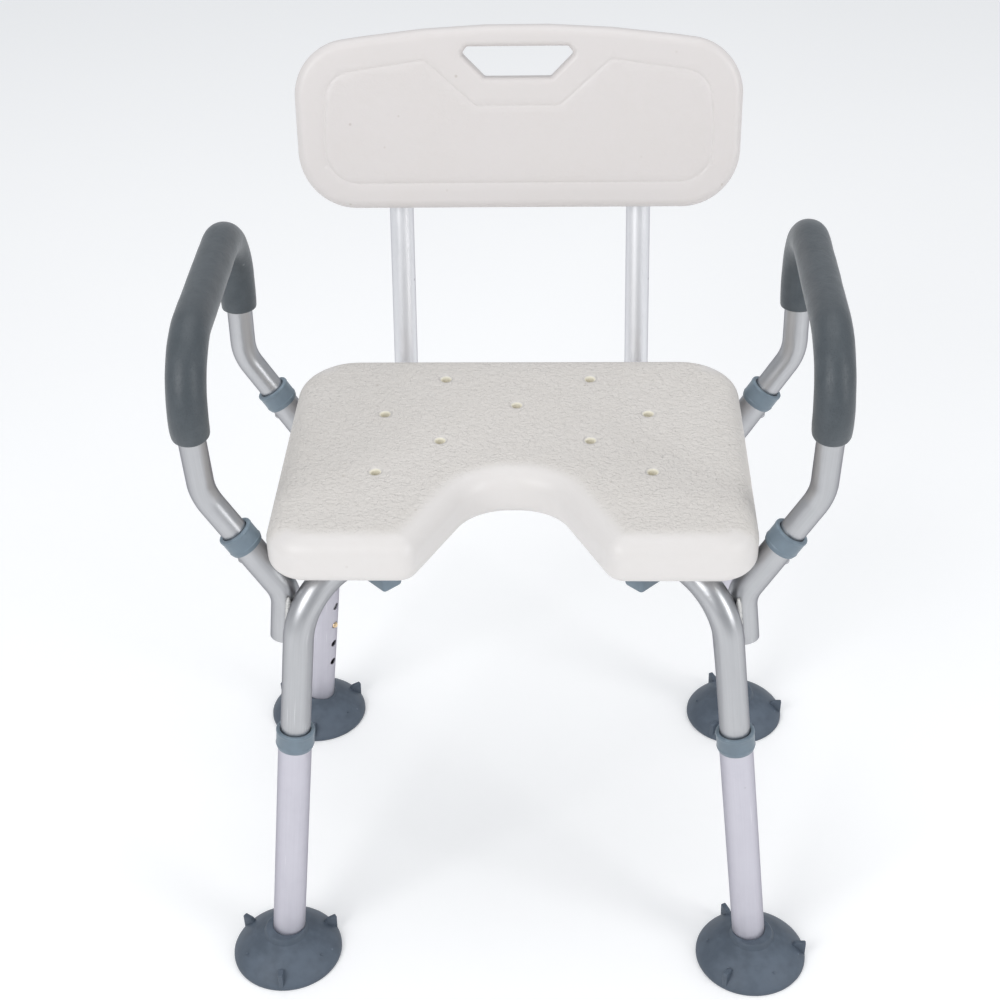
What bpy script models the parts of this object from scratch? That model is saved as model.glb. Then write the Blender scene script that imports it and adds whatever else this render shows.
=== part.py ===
"""Shower chair with a U-shaped seat, backrest, armrests and four height-adjustable legs.

Metres, +Z up.  The sitter faces -Y, so the sitter's left side is +X.  The sizes below are
measured from the middle of the four feet.  The finished chair is moved back to front by
BOX_SHIFT_Y, so that the origin is on the floor under the middle of its outline.

The chair comes apart like the real one: two bent frame tubes, clamped to the seat by
saddle clips, carry everything.  Leg tubes slide over the frame's legs, the armrests plug
into sockets beside the legs, and the backrest plugs into receivers under the seat.  Each
of those joints is held by a spring button.
"""

import math

import bmesh
import bpy
from mathutils import Matrix, Vector

GAP = 0.0003                    # left between pieces that touch
BOX_SHIFT_Y = -0.0411           # from the middle of the feet to the middle of the outline

# ---- feet and legs -------------------------------------------------------------------
FRONT_FOOT_X = 0.2096           # foot centres, left and right of the middle
REAR_FOOT_X = 0.219
FOOT_Y = 0.164                  # and in front of and behind it
SPLAY = 0.138                   # a leg's horizontal run for each metre of height
FRAME_R = 0.0127                # 25.4 mm frame tube
LEG_R = 0.0143                  # 28.6 mm leg extension tube
LEG_WALL = 0.0012
LEG_BOTTOM_Z = 0.0115
LEG_TOP_Z = 0.2435
FRAME_END_Z = 0.106             # where the frame tube ends inside the leg extension
LEG_BUTTON_Z = 0.131
HOLE_PITCH = 0.0254
HOLES_BELOW = 2                 # holes below and above the one that is in use
HOLES_ABOVE = 3
COLLAR_HALF = 0.009
CUP_R = 0.0489
NECK_Z = 0.031                  # top of the suction foot's neck
LEFT_FOOT_TURN = -33.0          # degrees that the tabs of the left feet are turned

# ---- frame ---------------------------------------------------------------------------
TUBE_Z = 0.3872                 # centre of the frame tubes under the seat
LEG_BEND_R = 0.058
MIDDLE_BEND_R = 0.050
FRONT_MEET_Y = 0.0370           # where the two legs of a frame tube would meet if unbent
REAR_MEET_Y = 0.0360
BOLT_R = 0.003
BOLT_SEAT = 0.0012              # the head and nut bridge the hollow side of the bends

# ---- seat ----------------------------------------------------------------------------
SEAT_TOP_Z = 0.4405
SEAT_T = 0.040
SEAT_HALF_W = 0.197
SEAT_FRONT_Y = -0.1434
SEAT_REAR_Y = 0.1519
SEAT_EDGE_R = 0.012
CUT_BACK_Y = -0.0455            # deepest point of the U
CUT_BACK_X = 0.0314             # half width of the U there, before rounding
CUT_FRONT_X = 0.0790            # half width of the U at the front edge
DRAIN_R = 0.004
DRAINS = [(0.0645, 0.112), (0.1145, 0.054), (0.064, 0.011), (0.115, -0.037)]
MIDDLE_DRAIN_Y = 0.0684

# ---- saddle clips --------------------------------------------------------------------
SADDLE_FRONT_X = 0.122
SADDLE_REAR_X = 0.060
SADDLE_LENGTH = 0.070
SADDLE_WIDTH = 0.020
SADDLE_BOTTOM_Z = 0.3680
SADDLE_SCREW = 0.0255           # from the tube's centre
POCKET_TOP_Z = 0.386
SCREW_R = 0.0021
SCREW_HEAD_R = 0.0042
SCREW_BITE = 0.012

# ---- armrests ------------------------------------------------------------------------
ARM_R = 0.011                   # 22 mm tube
ARM_X = 0.2450                  # upright part of the armrest
ARM_TOP_X = 0.2450
ARM_TOP_Z = 0.595
ARM_FRONT_Y = -0.130            # at the top
ARM_REAR_Y = 0.124
ARM_CORNER_R = 0.056
ARM_TILT = math.radians(31.0)   # of the sockets and the tube ends in them
GRIP_R = 0.0160
FRONT_GRIP_END_Z = 0.526        # the foam stops here
REAR_GRIP_END_Z = 0.509
SOCKET_R = 0.0127
SOCKET_BORE_WALL = 0.0011
SOCKET_BEND_R = 0.035
SOCKET_END_Z = 0.324
SOCKET_OFF = 0.0263             # socket axis to leg axis where they are welded
ARM_COLLAR_X = 0.2187
ARM_COLLAR_Z = 0.4205
ARM_BUTTON_DROP = 0.0175        # below the collar's middle, along the socket
ARM_END_DROP = 0.029

# ---- backrest ------------------------------------------------------------------------
BACK_TILT = math.radians(15.1)
BACK_ORIGIN_Y = 0.1008          # the uprights' line meets the floor here
UPRIGHT_X = 0.1094
UPRIGHT_TOP_V = 0.705           # distances up the tilted uprights are called V
RECEIVER_Z = 0.3615
RECEIVER_FRONT_Y = -0.030
RECEIVER_REAR_Y = 0.150
UPRIGHT_END_Y = 0.020
BACK_BUTTON_Y = 0.112
PANEL_T = 0.024
PANEL_HALF_W = 0.201
PANEL_BOTTOM_V = 0.568
PANEL_SHOULDER_V = 0.711
PANEL_PEAK_V = 0.7395
PANEL_SCREWS_V = (0.600, 0.684)

# ---- spring buttons ------------------------------------------------------------------
BUTTON_R = 0.0033
BUTTON_PROUD = 0.0026
BUTTON_LENGTH = 0.0085
BUTTON_TRAVEL = 0.0040
BUTTON_CLEAR = 0.0006           # round the button in the holes it passes

SIDES = (("left", 1), ("right", -1))
ENDS = (("front", -1), ("rear", 1))

PARTS = "shower_chair"
CUTTERS = "cutters"


# ======================================================================================
# Scene, materials and small helpers
# ======================================================================================
def clear_scene():
    for thing in list(bpy.data.objects):
        bpy.data.objects.remove(thing, do_unlink=True)
    for group in list(bpy.data.collections):
        bpy.data.collections.remove(group)
    for name in (PARTS, CUTTERS):
        group = bpy.data.collections.new(name)
        bpy.context.scene.collection.children.link(group)


def material(name, colour, roughness, metallic=0.0):
    made = bpy.data.materials.new(name)
    made.use_nodes = True
    shader = made.node_tree.nodes["Principled BSDF"]
    shader.inputs["Base Color"].default_value = (*colour, 1.0)
    shader.inputs["Roughness"].default_value = roughness
    shader.inputs["Metallic"].default_value = metallic
    made.diffuse_color = (*colour, 1.0)
    return made


def place(name, data, finish=None, matrix=None):
    """A new object in the parts collection, or among the cutters if it has no finish."""
    thing = bpy.data.objects.new(name, data)
    group = PARTS if finish else CUTTERS
    bpy.data.collections[group].objects.link(thing)
    if finish:
        data.materials.append(finish)
    else:
        thing.hide_render = True
        thing.display_type = "WIRE"
    shift = Matrix.Translation((0.0, BOX_SHIFT_Y, 0.0))
    thing.matrix_world = shift @ matrix if matrix else shift
    return thing


def aim(point, axis, front=(0.0, 0.0, 1.0)):
    """Matrix at point with local Z along axis and local X as near to front as can be."""
    z = Vector(axis).normalized()
    x = Vector(front) - z * Vector(front).dot(z)
    if x.length < 1e-6:
        x = z.orthogonal()
    x.normalize()
    y = z.cross(x)
    turn = Matrix((x, y, z)).transposed().to_4x4()
    return Matrix.Translation(Vector(point)) @ turn


def cut(thing, cutter, operation="DIFFERENCE"):
    boolean = thing.modifiers.new(cutter.name, "BOOLEAN")
    boolean.operation = operation
    boolean.object = cutter
    boolean.solver = "EXACT"


def solid_from_curve(curve, name, finish, matrix=None):
    """The closed mesh that a curve draws, its caps welded on."""
    guide = bpy.data.objects.new("guide", curve)
    bpy.context.scene.collection.objects.link(guide)
    bpy.context.view_layer.update()
    depsgraph = bpy.context.evaluated_depsgraph_get()
    mesh = bpy.data.meshes.new_from_object(guide.evaluated_get(depsgraph))
    bpy.data.objects.remove(guide, do_unlink=True)
    mesh.materials.clear()
    work = bmesh.new()
    work.from_mesh(mesh)
    bmesh.ops.remove_doubles(work, verts=work.verts, dist=1e-6)
    bmesh.ops.recalc_face_normals(work, faces=work.faces)
    work.to_mesh(mesh)
    work.free()
    return place(name, mesh, finish, matrix)


def smooth(thing):
    thing.data.shade_smooth()
    thing.data.set_sharp_from_angle(angle=math.radians(35))
    return thing


def pins(name, placed, sides=10):
    """One cutter made of separate cylinders: (matrix, radius, start, end) along local Z."""
    work = bmesh.new()
    for matrix, radius, start, end in placed:
        middle = Matrix.Translation((0.0, 0.0, (start + end) / 2))
        bmesh.ops.create_cone(work, cap_ends=True, segments=sides, radius1=radius,
                              radius2=radius, depth=end - start, matrix=matrix @ middle)
    mesh = bpy.data.meshes.new(name)
    work.to_mesh(mesh)
    work.free()
    return place(name, mesh)


def turned(name, profile, matrix, finish=None, sides=16):
    """A closed profile of (radius, height) points turned about local Z.

    The profile runs down its outer side, from top to bottom, and back up the inside.
    """
    mesh = bpy.data.meshes.new(name)
    work = bmesh.new()
    points = [work.verts.new((radius, 0.0, height)) for radius, height in profile]
    on_axis = profile[0][0] == 0.0 and profile[-1][0] == 0.0
    loop = points if on_axis else points + points[:1]
    for one, two in zip(loop, loop[1:]):
        work.edges.new((one, two))
    work.to_mesh(mesh)
    work.free()
    made = place(name, mesh, finish, matrix)
    screw = made.modifiers.new("turn", "SCREW")
    screw.axis = "Z"
    screw.angle = math.tau
    screw.steps = sides
    screw.render_steps = sides
    screw.use_merge_vertices = True
    screw.merge_threshold = 1e-5
    screw.use_smooth_shade = False
    return made


# ======================================================================================
# Bent tubes and rounded outlines
# ======================================================================================
def rounded(corners, radii, step, closed=False):
    """Points along straight runs joined by arcs, each arc tangent to both of its runs."""
    corners = [Vector(corner) for corner in corners]
    count = len(corners)
    path = []
    for index, corner in enumerate(corners):
        radius = radii[index]
        if radius == 0.0 or (not closed and index in (0, count - 1)):
            path.append(corner)
            continue
        back = (corners[index - 1] - corner).normalized()
        ahead = (corners[(index + 1) % count] - corner).normalized()
        half = back.angle(ahead) / 2
        turn = math.pi - 2 * half
        middle = corner + (back + ahead).normalized() * (radius / math.sin(half))
        start = corner + back * (radius / math.tan(half)) - middle
        normal = (-back).cross(ahead).normalized()
        pieces = max(2, math.ceil(turn / step))
        for piece in range(pieces + 1):
            swing = Matrix.Rotation(turn * piece / pieces, 3, normal)
            path.append(middle + swing @ start)
    return path


def tube_curve(name, path, radius, rings, caps=True):
    curve = bpy.data.curves.new(name, "CURVE")
    curve.dimensions = "3D"
    curve.twist_mode = "MINIMUM"
    curve.bevel_depth = radius
    curve.bevel_resolution = rings
    curve.use_fill_caps = caps
    spline = curve.splines.new("POLY")
    spline.points.add(len(path) - 1)
    for point, spot in zip(spline.points, path):
        point.co = (*spot, 1.0)
    return curve


def rod(name, path, radius, finish, rings=4):
    """A bent tube drawn as a solid rod of its outside size."""
    return solid_from_curve(tube_curve(name, path, radius, rings), name, finish)


def pipe(name, path, radius, wall, finish, rings=4):
    """A bent tube that is open at both ends."""
    curve = tube_curve(name, path, radius, rings, caps=False)
    made = solid_from_curve(curve, name, finish)
    shell = made.modifiers.new("wall", "SOLIDIFY")
    shell.thickness = wall
    shell.offset = -1.0
    shell.use_even_offset = True
    shell.use_rim = True
    return made


def plate(name, outlines, thickness, edge, finish, matrix, rings=1):
    """A flat piece with rounded edges; outlines after the first are holes in it."""
    curve = bpy.data.curves.new(name, "CURVE")
    curve.dimensions = "2D"
    curve.fill_mode = "BOTH"
    curve.extrude = thickness / 2 - edge
    curve.bevel_depth = edge
    curve.bevel_resolution = rings
    curve.offset = -edge
    for outline in outlines:
        spline = curve.splines.new("POLY")
        spline.points.add(len(outline) - 1)
        for point, spot in zip(spline.points, outline):
            point.co = (spot[0], spot[1], 0.0, 1.0)
        spline.use_cyclic_u = True
    return solid_from_curve(curve, name, finish, matrix)


def mirrored(half):
    """Corners on +X, listed from front to back, followed by their mirror images."""
    return half + [(-x, y, z) for x, y, z in reversed(half)]


# ======================================================================================
# Legs
# ======================================================================================
class Leg:
    """The axis of one leg and the places that are measured along it."""

    def __init__(self, side, end):
        self.side = side
        self.end = end
        foot_x, meet = (FRONT_FOOT_X, FRONT_MEET_Y) if end < 0 else (REAR_FOOT_X, REAR_MEET_Y)
        self.foot = Vector((side * foot_x, end * FOOT_Y, 0.0))
        self.inward = (Vector((0.0, meet, 0.0)) - self.foot).normalized()
        self.axis = Vector((0.0, 0.0, 1.0)) + self.inward * SPLAY
        self.up = self.axis.normalized()
        self.face = (self.inward - self.up * self.inward.dot(self.up)).normalized()

    def at(self, height):
        return self.foot + self.axis * height

    def frame(self, height):
        """Local Z up the leg, local X towards the middle of the chair."""
        return aim(self.at(height), self.up, self.face)

    def length(self, low, high):
        return (high - low) * self.axis.length


def spring_button(name, spot, outward, finish):
    """A round-nosed pin whose origin is on the tube's surface and whose Z points out."""
    inner = BUTTON_PROUD - BUTTON_LENGTH
    nose = [(BUTTON_R * math.sin(angle), BUTTON_PROUD - BUTTON_R * (1 - math.cos(angle)))
            for angle in (0.0, math.radians(50), math.radians(90))]
    profile = nose + [(BUTTON_R, inner), (0.0, inner)]
    return smooth(turned(name, profile, aim(spot, outward), finish, sides=10))


def button_hole(spot, outward, depth):
    """Cylinder that clears a button, from depth below the surface to well outside it."""
    return aim(spot, outward), BUTTON_R + BUTTON_CLEAR, -depth, BUTTON_PROUD + 0.004


def leg_extension(name, leg, finish):
    length = leg.length(LEG_BOTTOM_Z, LEG_TOP_Z)
    bore = LEG_R - LEG_WALL
    profile = [(LEG_R, length), (LEG_R, 0.0), (bore, 0.0), (bore, length)]
    tube = turned(name, profile, leg.frame(LEG_BOTTOM_Z), finish, sides=16)
    holes = []
    for step in range(-HOLES_BELOW, HOLES_ABOVE + 1):
        centre = leg.at(LEG_BUTTON_Z) + leg.up * (HOLE_PITCH * step)
        holes.append(button_hole(centre + leg.face * LEG_R, leg.face, LEG_R))
    cut(tube, pins(name + "_holes", holes, sides=8))
    return smooth(tube)


def collar_profile(outer, sleeve, lip, under_lip):
    """Ring round a tube's end, with a lip over that end that closes on the inner tube."""
    return [(outer, COLLAR_HALF), (outer, 0.003 - COLLAR_HALF), (outer - 0.0012, -COLLAR_HALF),
            (sleeve, -COLLAR_HALF), (sleeve, under_lip), (lip, under_lip), (lip, COLLAR_HALF)]


def leg_collar(name, leg, finish):
    """Plastic ring over the top end of the leg tube, with a lip round the frame tube."""
    outer = LEG_R + 0.0022
    sleeve = LEG_R + GAP
    lip = FRAME_R + GAP
    under_lip = COLLAR_HALF - 0.004
    profile = collar_profile(outer, sleeve, lip, under_lip)
    middle = LEG_TOP_Z - (under_lip - GAP) / leg.axis.length
    return smooth(turned(name, profile, leg.frame(middle), finish, sides=16))


def suction_foot(name, leg, finish):
    """Rubber cup with a neck that takes the end of the leg tube, and three rim tabs."""
    neck = LEG_R + 0.0045
    profile = [(0.0, NECK_Z), (neck, NECK_Z), (neck + 0.001, NECK_Z - 0.005), (0.031, 0.0205),
               (0.042, 0.0118), (CUP_R, 0.003), (CUP_R, 0.0), (0.042, 0.0), (0.0, 0.0065)]
    cup = turned(name, profile, Matrix.Translation(leg.foot), finish, sides=24)
    first_tab = -90 + (LEFT_FOOT_TURN if leg.side > 0 else 0.0)
    for index in range(3):
        turn = Matrix.Rotation(math.radians(first_tab + 120 * index), 4, "Z")
        spot = Matrix.Translation(leg.foot) @ turn
        cut(cup, tab(f"{name}_tab_{index + 1}", spot), "UNION")
    socket = leg.frame(LEG_BOTTOM_Z - GAP), LEG_R + GAP, 0.0, 0.06
    cut(cup, pins(name + "_socket", [socket], sides=24))
    return smooth(cup)


def tab(name, matrix):
    """Upright wedge on the rim, for peeling the cup off the floor."""
    outline = [(0.0345, 0.013), (0.0484, 0.0035), (0.0488, 0.0190), (0.0400, 0.0185)]
    mesh = bpy.data.meshes.new(name)
    work = bmesh.new()
    sides = [[work.verts.new((x, y, z)) for x, z in outline] for y in (-0.0022, 0.0022)]
    near = work.faces.new(sides[0])
    bmesh.ops.bridge_loops(work, edges=list(near.edges) + list(work.faces.new(sides[1]).edges))
    bmesh.ops.recalc_face_normals(work, faces=work.faces)
    work.to_mesh(mesh)
    work.free()
    return place(name, mesh, matrix=matrix)


# ======================================================================================
# Frame
# ======================================================================================
def frame_tube(name, legs, meet_y, finish):
    """One bent tube: up a leg, in under the seat to the middle, out and down the other."""
    first, second = legs
    corners = [first.at(FRAME_END_Z), first.at(TUBE_Z), (0.0, meet_y, TUBE_Z),
               second.at(TUBE_Z), second.at(FRAME_END_Z)]
    radii = [0.0, LEG_BEND_R, MIDDLE_BEND_R, LEG_BEND_R, 0.0]
    tube = rod(name, rounded(corners, radii, math.radians(18)), FRAME_R, finish)
    holes = [button_hole(leg.at(LEG_BUTTON_Z) + leg.face * LEG_R, leg.face,
                         BUTTON_LENGTH + BUTTON_TRAVEL) for leg in legs]
    holes.append((aim((0.0, 0.0, TUBE_Z), (0, 1, 0)), BOLT_R + GAP, -0.03, 0.07))
    cut(tube, pins(name + "_holes", holes, sides=12))
    return smooth(tube)


def bend_peak(leg, meet_y):
    """Y of the tube's centre line at the rounded middle of a frame tube."""
    spread = abs(leg.inward.x)
    return meet_y + leg.end * MIDDLE_BEND_R * (1 / spread - 1)


def cross_bolt(front_face, rear_face, finish):
    """Round-headed bolt through both frame tubes where they touch, and its lock nut."""
    head = 0.0065
    profile = [(0.0, 0.0045), (0.003, 0.004), (head, 0.001), (head, 0.0), (BOLT_R, 0.0),
               (BOLT_R, front_face - rear_face - 0.009), (0.0, front_face - rear_face - 0.009)]
    spot = aim((0.0, front_face - BOLT_SEAT, TUBE_Z), (0, -1, 0))
    smooth(turned("cross_bolt", profile, spot, finish, sides=12))
    bore = (BOLT_R + GAP) / math.cos(math.pi / 6)   # the six-sided bore clears a round bolt
    nut = [(0.0062, 0.0055), (0.0062, 0.0), (bore, 0.0), (bore, 0.0055)]
    turned("cross_nut", nut, aim((0.0, rear_face + BOLT_SEAT, TUBE_Z), (0, 1, 0)), finish, sides=6)


def saddle_spots(legs):
    """Middle of each saddle clip, the way the tube runs, and the way the clip runs."""
    for leg in legs:
        reach = SADDLE_FRONT_X if leg.end < 0 else SADDLE_REAR_X
        corner = leg.at(TUBE_Z)
        run = (corner.x - leg.side * reach) / -leg.inward.x
        middle = corner + leg.inward * run
        yield leg, middle, Vector((-leg.inward.y, leg.inward.x, 0.0))


def saddle_clip(name, leg, middle, across, finish):
    """Block under the tube with a channel for it and a screw pocket at each end."""
    top = SEAT_TOP_Z - SEAT_T - GAP
    height = top - SADDLE_BOTTOM_Z
    mesh = bpy.data.meshes.new(name)
    work = bmesh.new()
    bmesh.ops.create_cube(work, size=1.0)
    bmesh.ops.scale(work, vec=(SADDLE_LENGTH, SADDLE_WIDTH, height), verts=work.verts)
    work.to_mesh(mesh)
    work.free()
    spot = Vector((middle.x, middle.y, SADDLE_BOTTOM_Z + height / 2))
    block = place(name, mesh, finish, aim(spot, (0, 0, 1), across))
    bevel = block.modifiers.new("corners", "BEVEL")
    bevel.width = 0.004
    bevel.segments = 2
    bevel.limit_method = "ANGLE"
    channel = aim((middle.x, middle.y, TUBE_Z), leg.inward), FRAME_R + GAP, -0.02, 0.02
    cut(block, pins(name + "_channel", [channel], sides=16))
    cut(block, slab(name + "_mouth", middle, across))
    holes = []
    for way in (-1, 1):
        point = middle + across * (way * SADDLE_SCREW)
        below = aim((point.x, point.y, 0.0), (0, 0, 1))
        holes.append((below, SCREW_HEAD_R + 0.0008, SADDLE_BOTTOM_Z - 0.01, POCKET_TOP_Z))
        holes.append((below, SCREW_R + GAP, POCKET_TOP_Z - 0.001, top + 0.01))
    for index, hole in enumerate(holes):
        cut(block, pins(f"{name}_hole_{index + 1}", [hole], sides=12))
    return block


def slab(name, middle, across):
    """Opens the saddle's channel upwards, so that it slips over the tube."""
    mesh = bpy.data.meshes.new(name)
    work = bmesh.new()
    bmesh.ops.create_cube(work, size=1.0)
    bmesh.ops.scale(work, vec=(2 * (FRAME_R + GAP), 0.05, 0.03), verts=work.verts)
    work.to_mesh(mesh)
    work.free()
    return place(name, mesh, matrix=aim((middle.x, middle.y, TUBE_Z + 0.015), (0, 0, 1), across))


def pan_screw(name, spot, axis, length, finish):
    """Screw whose head's seat is at spot and whose shank runs along axis."""
    profile = [(0.0, length), (SCREW_R, length - 0.003), (SCREW_R, 0.0), (SCREW_HEAD_R, 0.0),
               (SCREW_HEAD_R * 0.8, -0.0024), (0.0, -0.0026)]
    return smooth(turned(name, profile, aim(spot, axis), finish, sides=8))


# ======================================================================================
# Seat
# ======================================================================================
def seat_outline():
    half = [(CUT_BACK_X, CUT_BACK_Y, 0.0), (CUT_FRONT_X, SEAT_FRONT_Y, 0.0),
            (SEAT_HALF_W, SEAT_FRONT_Y, 0.0), (SEAT_HALF_W, SEAT_REAR_Y, 0.0)]
    radii = [0.045, 0.018, 0.034, 0.052]
    return rounded(mirrored(half), radii + radii[::-1], math.radians(15), closed=True)


def seat(saddles, finish):
    matrix = Matrix.Translation((0.0, 0.0, SEAT_TOP_Z - SEAT_T / 2))
    pan = plate("seat", [seat_outline()], SEAT_T, SEAT_EDGE_R, finish, matrix)
    spots = [(side * x, y) for x, y in DRAINS for side in (-1, 1)] + [(0.0, MIDDLE_DRAIN_Y)]
    holes = [(Matrix.Translation((x, y, 0.0)), DRAIN_R, 0.38, 0.46) for x, y in spots]
    cut(pan, pins("seat_drains", holes, sides=12))
    bottom = SEAT_TOP_Z - SEAT_T
    bites = []
    for _leg, middle, across in saddles:
        for way in (-1, 1):
            point = middle + across * (way * SADDLE_SCREW)
            low = Matrix.Translation((point.x, point.y, bottom))
            bites.append((low, SCREW_R + GAP, -0.01, SCREW_BITE + 0.001))
    cut(pan, pins("seat_screw_holes", bites, sides=8))
    return smooth(pan)


# ======================================================================================
# Armrests
# ======================================================================================
def socket_points(leg):
    """Lower end, bend and top end of the socket beside a leg."""
    slant = Vector((leg.side * math.sin(ARM_TILT), 0.0, math.cos(ARM_TILT)))
    beside = Vector((leg.side * 0.50, 0.866, 0.0)) if leg.end < 0 else Vector(
        (leg.side * 0.55, -0.835, 0.0))
    low = leg.at(SOCKET_END_Z) + beside.normalized() * SOCKET_OFF
    # the bend is where the run beside the leg meets the slanting run through the collar
    lean = abs(slant.x / slant.z)
    gather = abs(leg.axis.x)
    rise = ARM_COLLAR_Z - low.z
    drop = (abs(low.x) - ARM_COLLAR_X + lean * rise) / (lean + gather)
    bend = low + leg.axis * drop
    collar = bend + slant * ((ARM_COLLAR_Z - bend.z) / slant.z)
    return low, bend, collar, slant


def arm_socket(name, leg, finish):
    low, bend, collar, slant = socket_points(leg)
    top = collar + slant * 0.005
    path = rounded([low, bend, top], [0.0, SOCKET_BEND_R, 0.0], math.radians(9))
    pipe_made = pipe(name, path, SOCKET_R, SOCKET_BORE_WALL, finish, rings=6)
    outward = Vector((slant.z * leg.side, 0.0, -slant.x * leg.side))
    spot = collar - slant * ARM_BUTTON_DROP + outward * SOCKET_R
    cut(pipe_made, pins(name + "_hole", [button_hole(spot, outward, SOCKET_R)], sides=10))
    return smooth(pipe_made)


def arm_collar(name, leg, finish):
    _low, _bend, collar, slant = socket_points(leg)
    outer = SOCKET_R + 0.0024
    sleeve = SOCKET_R + GAP
    lip = ARM_R + GAP
    under_lip = 0.005 + GAP
    profile = collar_profile(outer, sleeve, lip, under_lip)
    return smooth(turned(name, profile, aim(collar, slant, (0, 1, 0)), finish, sides=16))


def armrest_path(side, from_grip=False):
    """Corners of the armrest's centre line, front end first."""
    front, rear = Leg(side, -1), Leg(side, 1)
    ends = []
    knees = []
    for leg in (front, rear):
        _low, _bend, collar, slant = socket_points(leg)
        ends.append(collar - slant * ARM_END_DROP)
        knees.append(collar + slant * ((ARM_X - ARM_COLLAR_X) / abs(slant.x)))
    top_front = Vector((side * ARM_TOP_X, ARM_FRONT_Y, ARM_TOP_Z))
    top_rear = Vector((side * ARM_TOP_X, ARM_REAR_Y, ARM_TOP_Z))
    corners = [ends[0], knees[0], top_front, top_rear, knees[1], ends[1]]
    if from_grip:
        for index, knee, top, end_z in ((1, knees[0], top_front, FRONT_GRIP_END_Z),
                                        (4, knees[1], top_rear, REAR_GRIP_END_Z)):
            share = (end_z - knee.z) / (top.z - knee.z)
            corners[index] = knee.lerp(top, share)
        corners = corners[1:5]
    return corners


def armrest_tube(name, side, finish):
    radii = [0.0, 0.045, ARM_CORNER_R, ARM_CORNER_R, 0.045, 0.0]
    path = rounded(armrest_path(side), radii, math.radians(22.5))
    tube = rod(name, path, ARM_R, finish)
    pockets = []
    for _end_name, end in ENDS:
        spot, outward = arm_button_spot(Leg(side, end))
        pockets.append(button_hole(spot, outward, BUTTON_LENGTH + BUTTON_TRAVEL))
    cut(tube, pins(name + "_pockets", pockets, sides=10))
    return smooth(tube)


def arm_button_spot(leg):
    _low, _bend, collar, slant = socket_points(leg)
    outward = Vector((slant.z * leg.side, 0.0, -slant.x * leg.side))
    return collar - slant * ARM_BUTTON_DROP + outward * SOCKET_R, outward


def armrest_grip(name, side, finish):
    radii = [0.0, ARM_CORNER_R, ARM_CORNER_R, 0.0]
    path = rounded(armrest_path(side, from_grip=True), radii, math.radians(22.5))
    return smooth(pipe(name, path, GRIP_R, GRIP_R - ARM_R - 0.0006, finish))


# ======================================================================================
# Backrest
# ======================================================================================
def on_upright(v, x=0.0, forward=0.0):
    """Point at distance v up the uprights' line, moved forward square to it."""
    up = Vector((0.0, math.sin(BACK_TILT), math.cos(BACK_TILT)))
    ahead = Vector((0.0, -math.cos(BACK_TILT), math.sin(BACK_TILT)))
    return Vector((x, BACK_ORIGIN_Y, 0.0)) + up * v + ahead * forward, up, ahead


def back_upright(name, side, finish):
    x = side * UPRIGHT_X
    corner, _up, ahead = on_upright(RECEIVER_Z / math.cos(BACK_TILT), x)
    top = on_upright(UPRIGHT_TOP_V, x)[0]
    corners = [(x, UPRIGHT_END_Y, RECEIVER_Z), corner, top]
    path = rounded(corners, [0.0, 0.045, 0.0], math.radians(15))
    tube = rod(name, path, ARM_R, finish)
    holes = [button_hole((x, BACK_BUTTON_Y, RECEIVER_Z - FRAME_R), (0, 0, -1),
                         BUTTON_LENGTH + BUTTON_TRAVEL)]
    holes += [(aim(on_upright(v, x)[0], ahead), SCREW_R + GAP, -0.02, 0.02)
              for v in PANEL_SCREWS_V]
    cut(tube, pins(name + "_holes", holes, sides=10))
    return smooth(tube)


def back_receiver(name, side, finish):
    x = side * UPRIGHT_X
    path = [(x, RECEIVER_FRONT_Y, RECEIVER_Z), (x, RECEIVER_REAR_Y, RECEIVER_Z)]
    tube = pipe(name, [Vector(point) for point in path], FRAME_R, SOCKET_BORE_WALL, finish, rings=6)
    spot = (x, BACK_BUTTON_Y, RECEIVER_Z - FRAME_R)
    cut(tube, pins(name + "_hole", [button_hole(spot, (0, 0, -1), FRAME_R)], sides=10))
    return smooth(tube)


def panel_outline():
    half = [(PANEL_HALF_W - 0.003, PANEL_BOTTOM_V, 0.0), (PANEL_HALF_W, PANEL_SHOULDER_V, 0.0)]
    corners = half + [(0.0, PANEL_PEAK_V, 0.0)] + [(-x, v, z) for x, v, z in reversed(half)]
    radii = [0.052, 0.050, 1.0, 0.050, 0.052]
    return rounded(corners, radii, math.radians(15), closed=True)


def handle_outline():
    half = [(0.0295, 0.684, 0.0), (0.050, 0.7045, 0.0), (0.045, 0.711, 0.0)]
    return rounded(mirrored(half), [0.003] * 6, math.radians(40), closed=True)


def backrest(finish):
    back_face = ARM_R + GAP
    origin, up, ahead = on_upright(0.0, 0.0, back_face + PANEL_T / 2)
    turn = Matrix(((1, 0, 0), up, ahead)).transposed().to_4x4()
    panel = plate("backrest", [panel_outline(), handle_outline()], PANEL_T, 0.007, finish,
                  Matrix.Translation(origin) @ turn)
    holes = [(aim(on_upright(v, side * UPRIGHT_X)[0], ahead), SCREW_R + GAP, 0.0, 0.026)
             for side in (-1, 1) for v in PANEL_SCREWS_V]
    cut(panel, pins("backrest_screw_holes", holes, sides=8))
    return smooth(panel)


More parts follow.
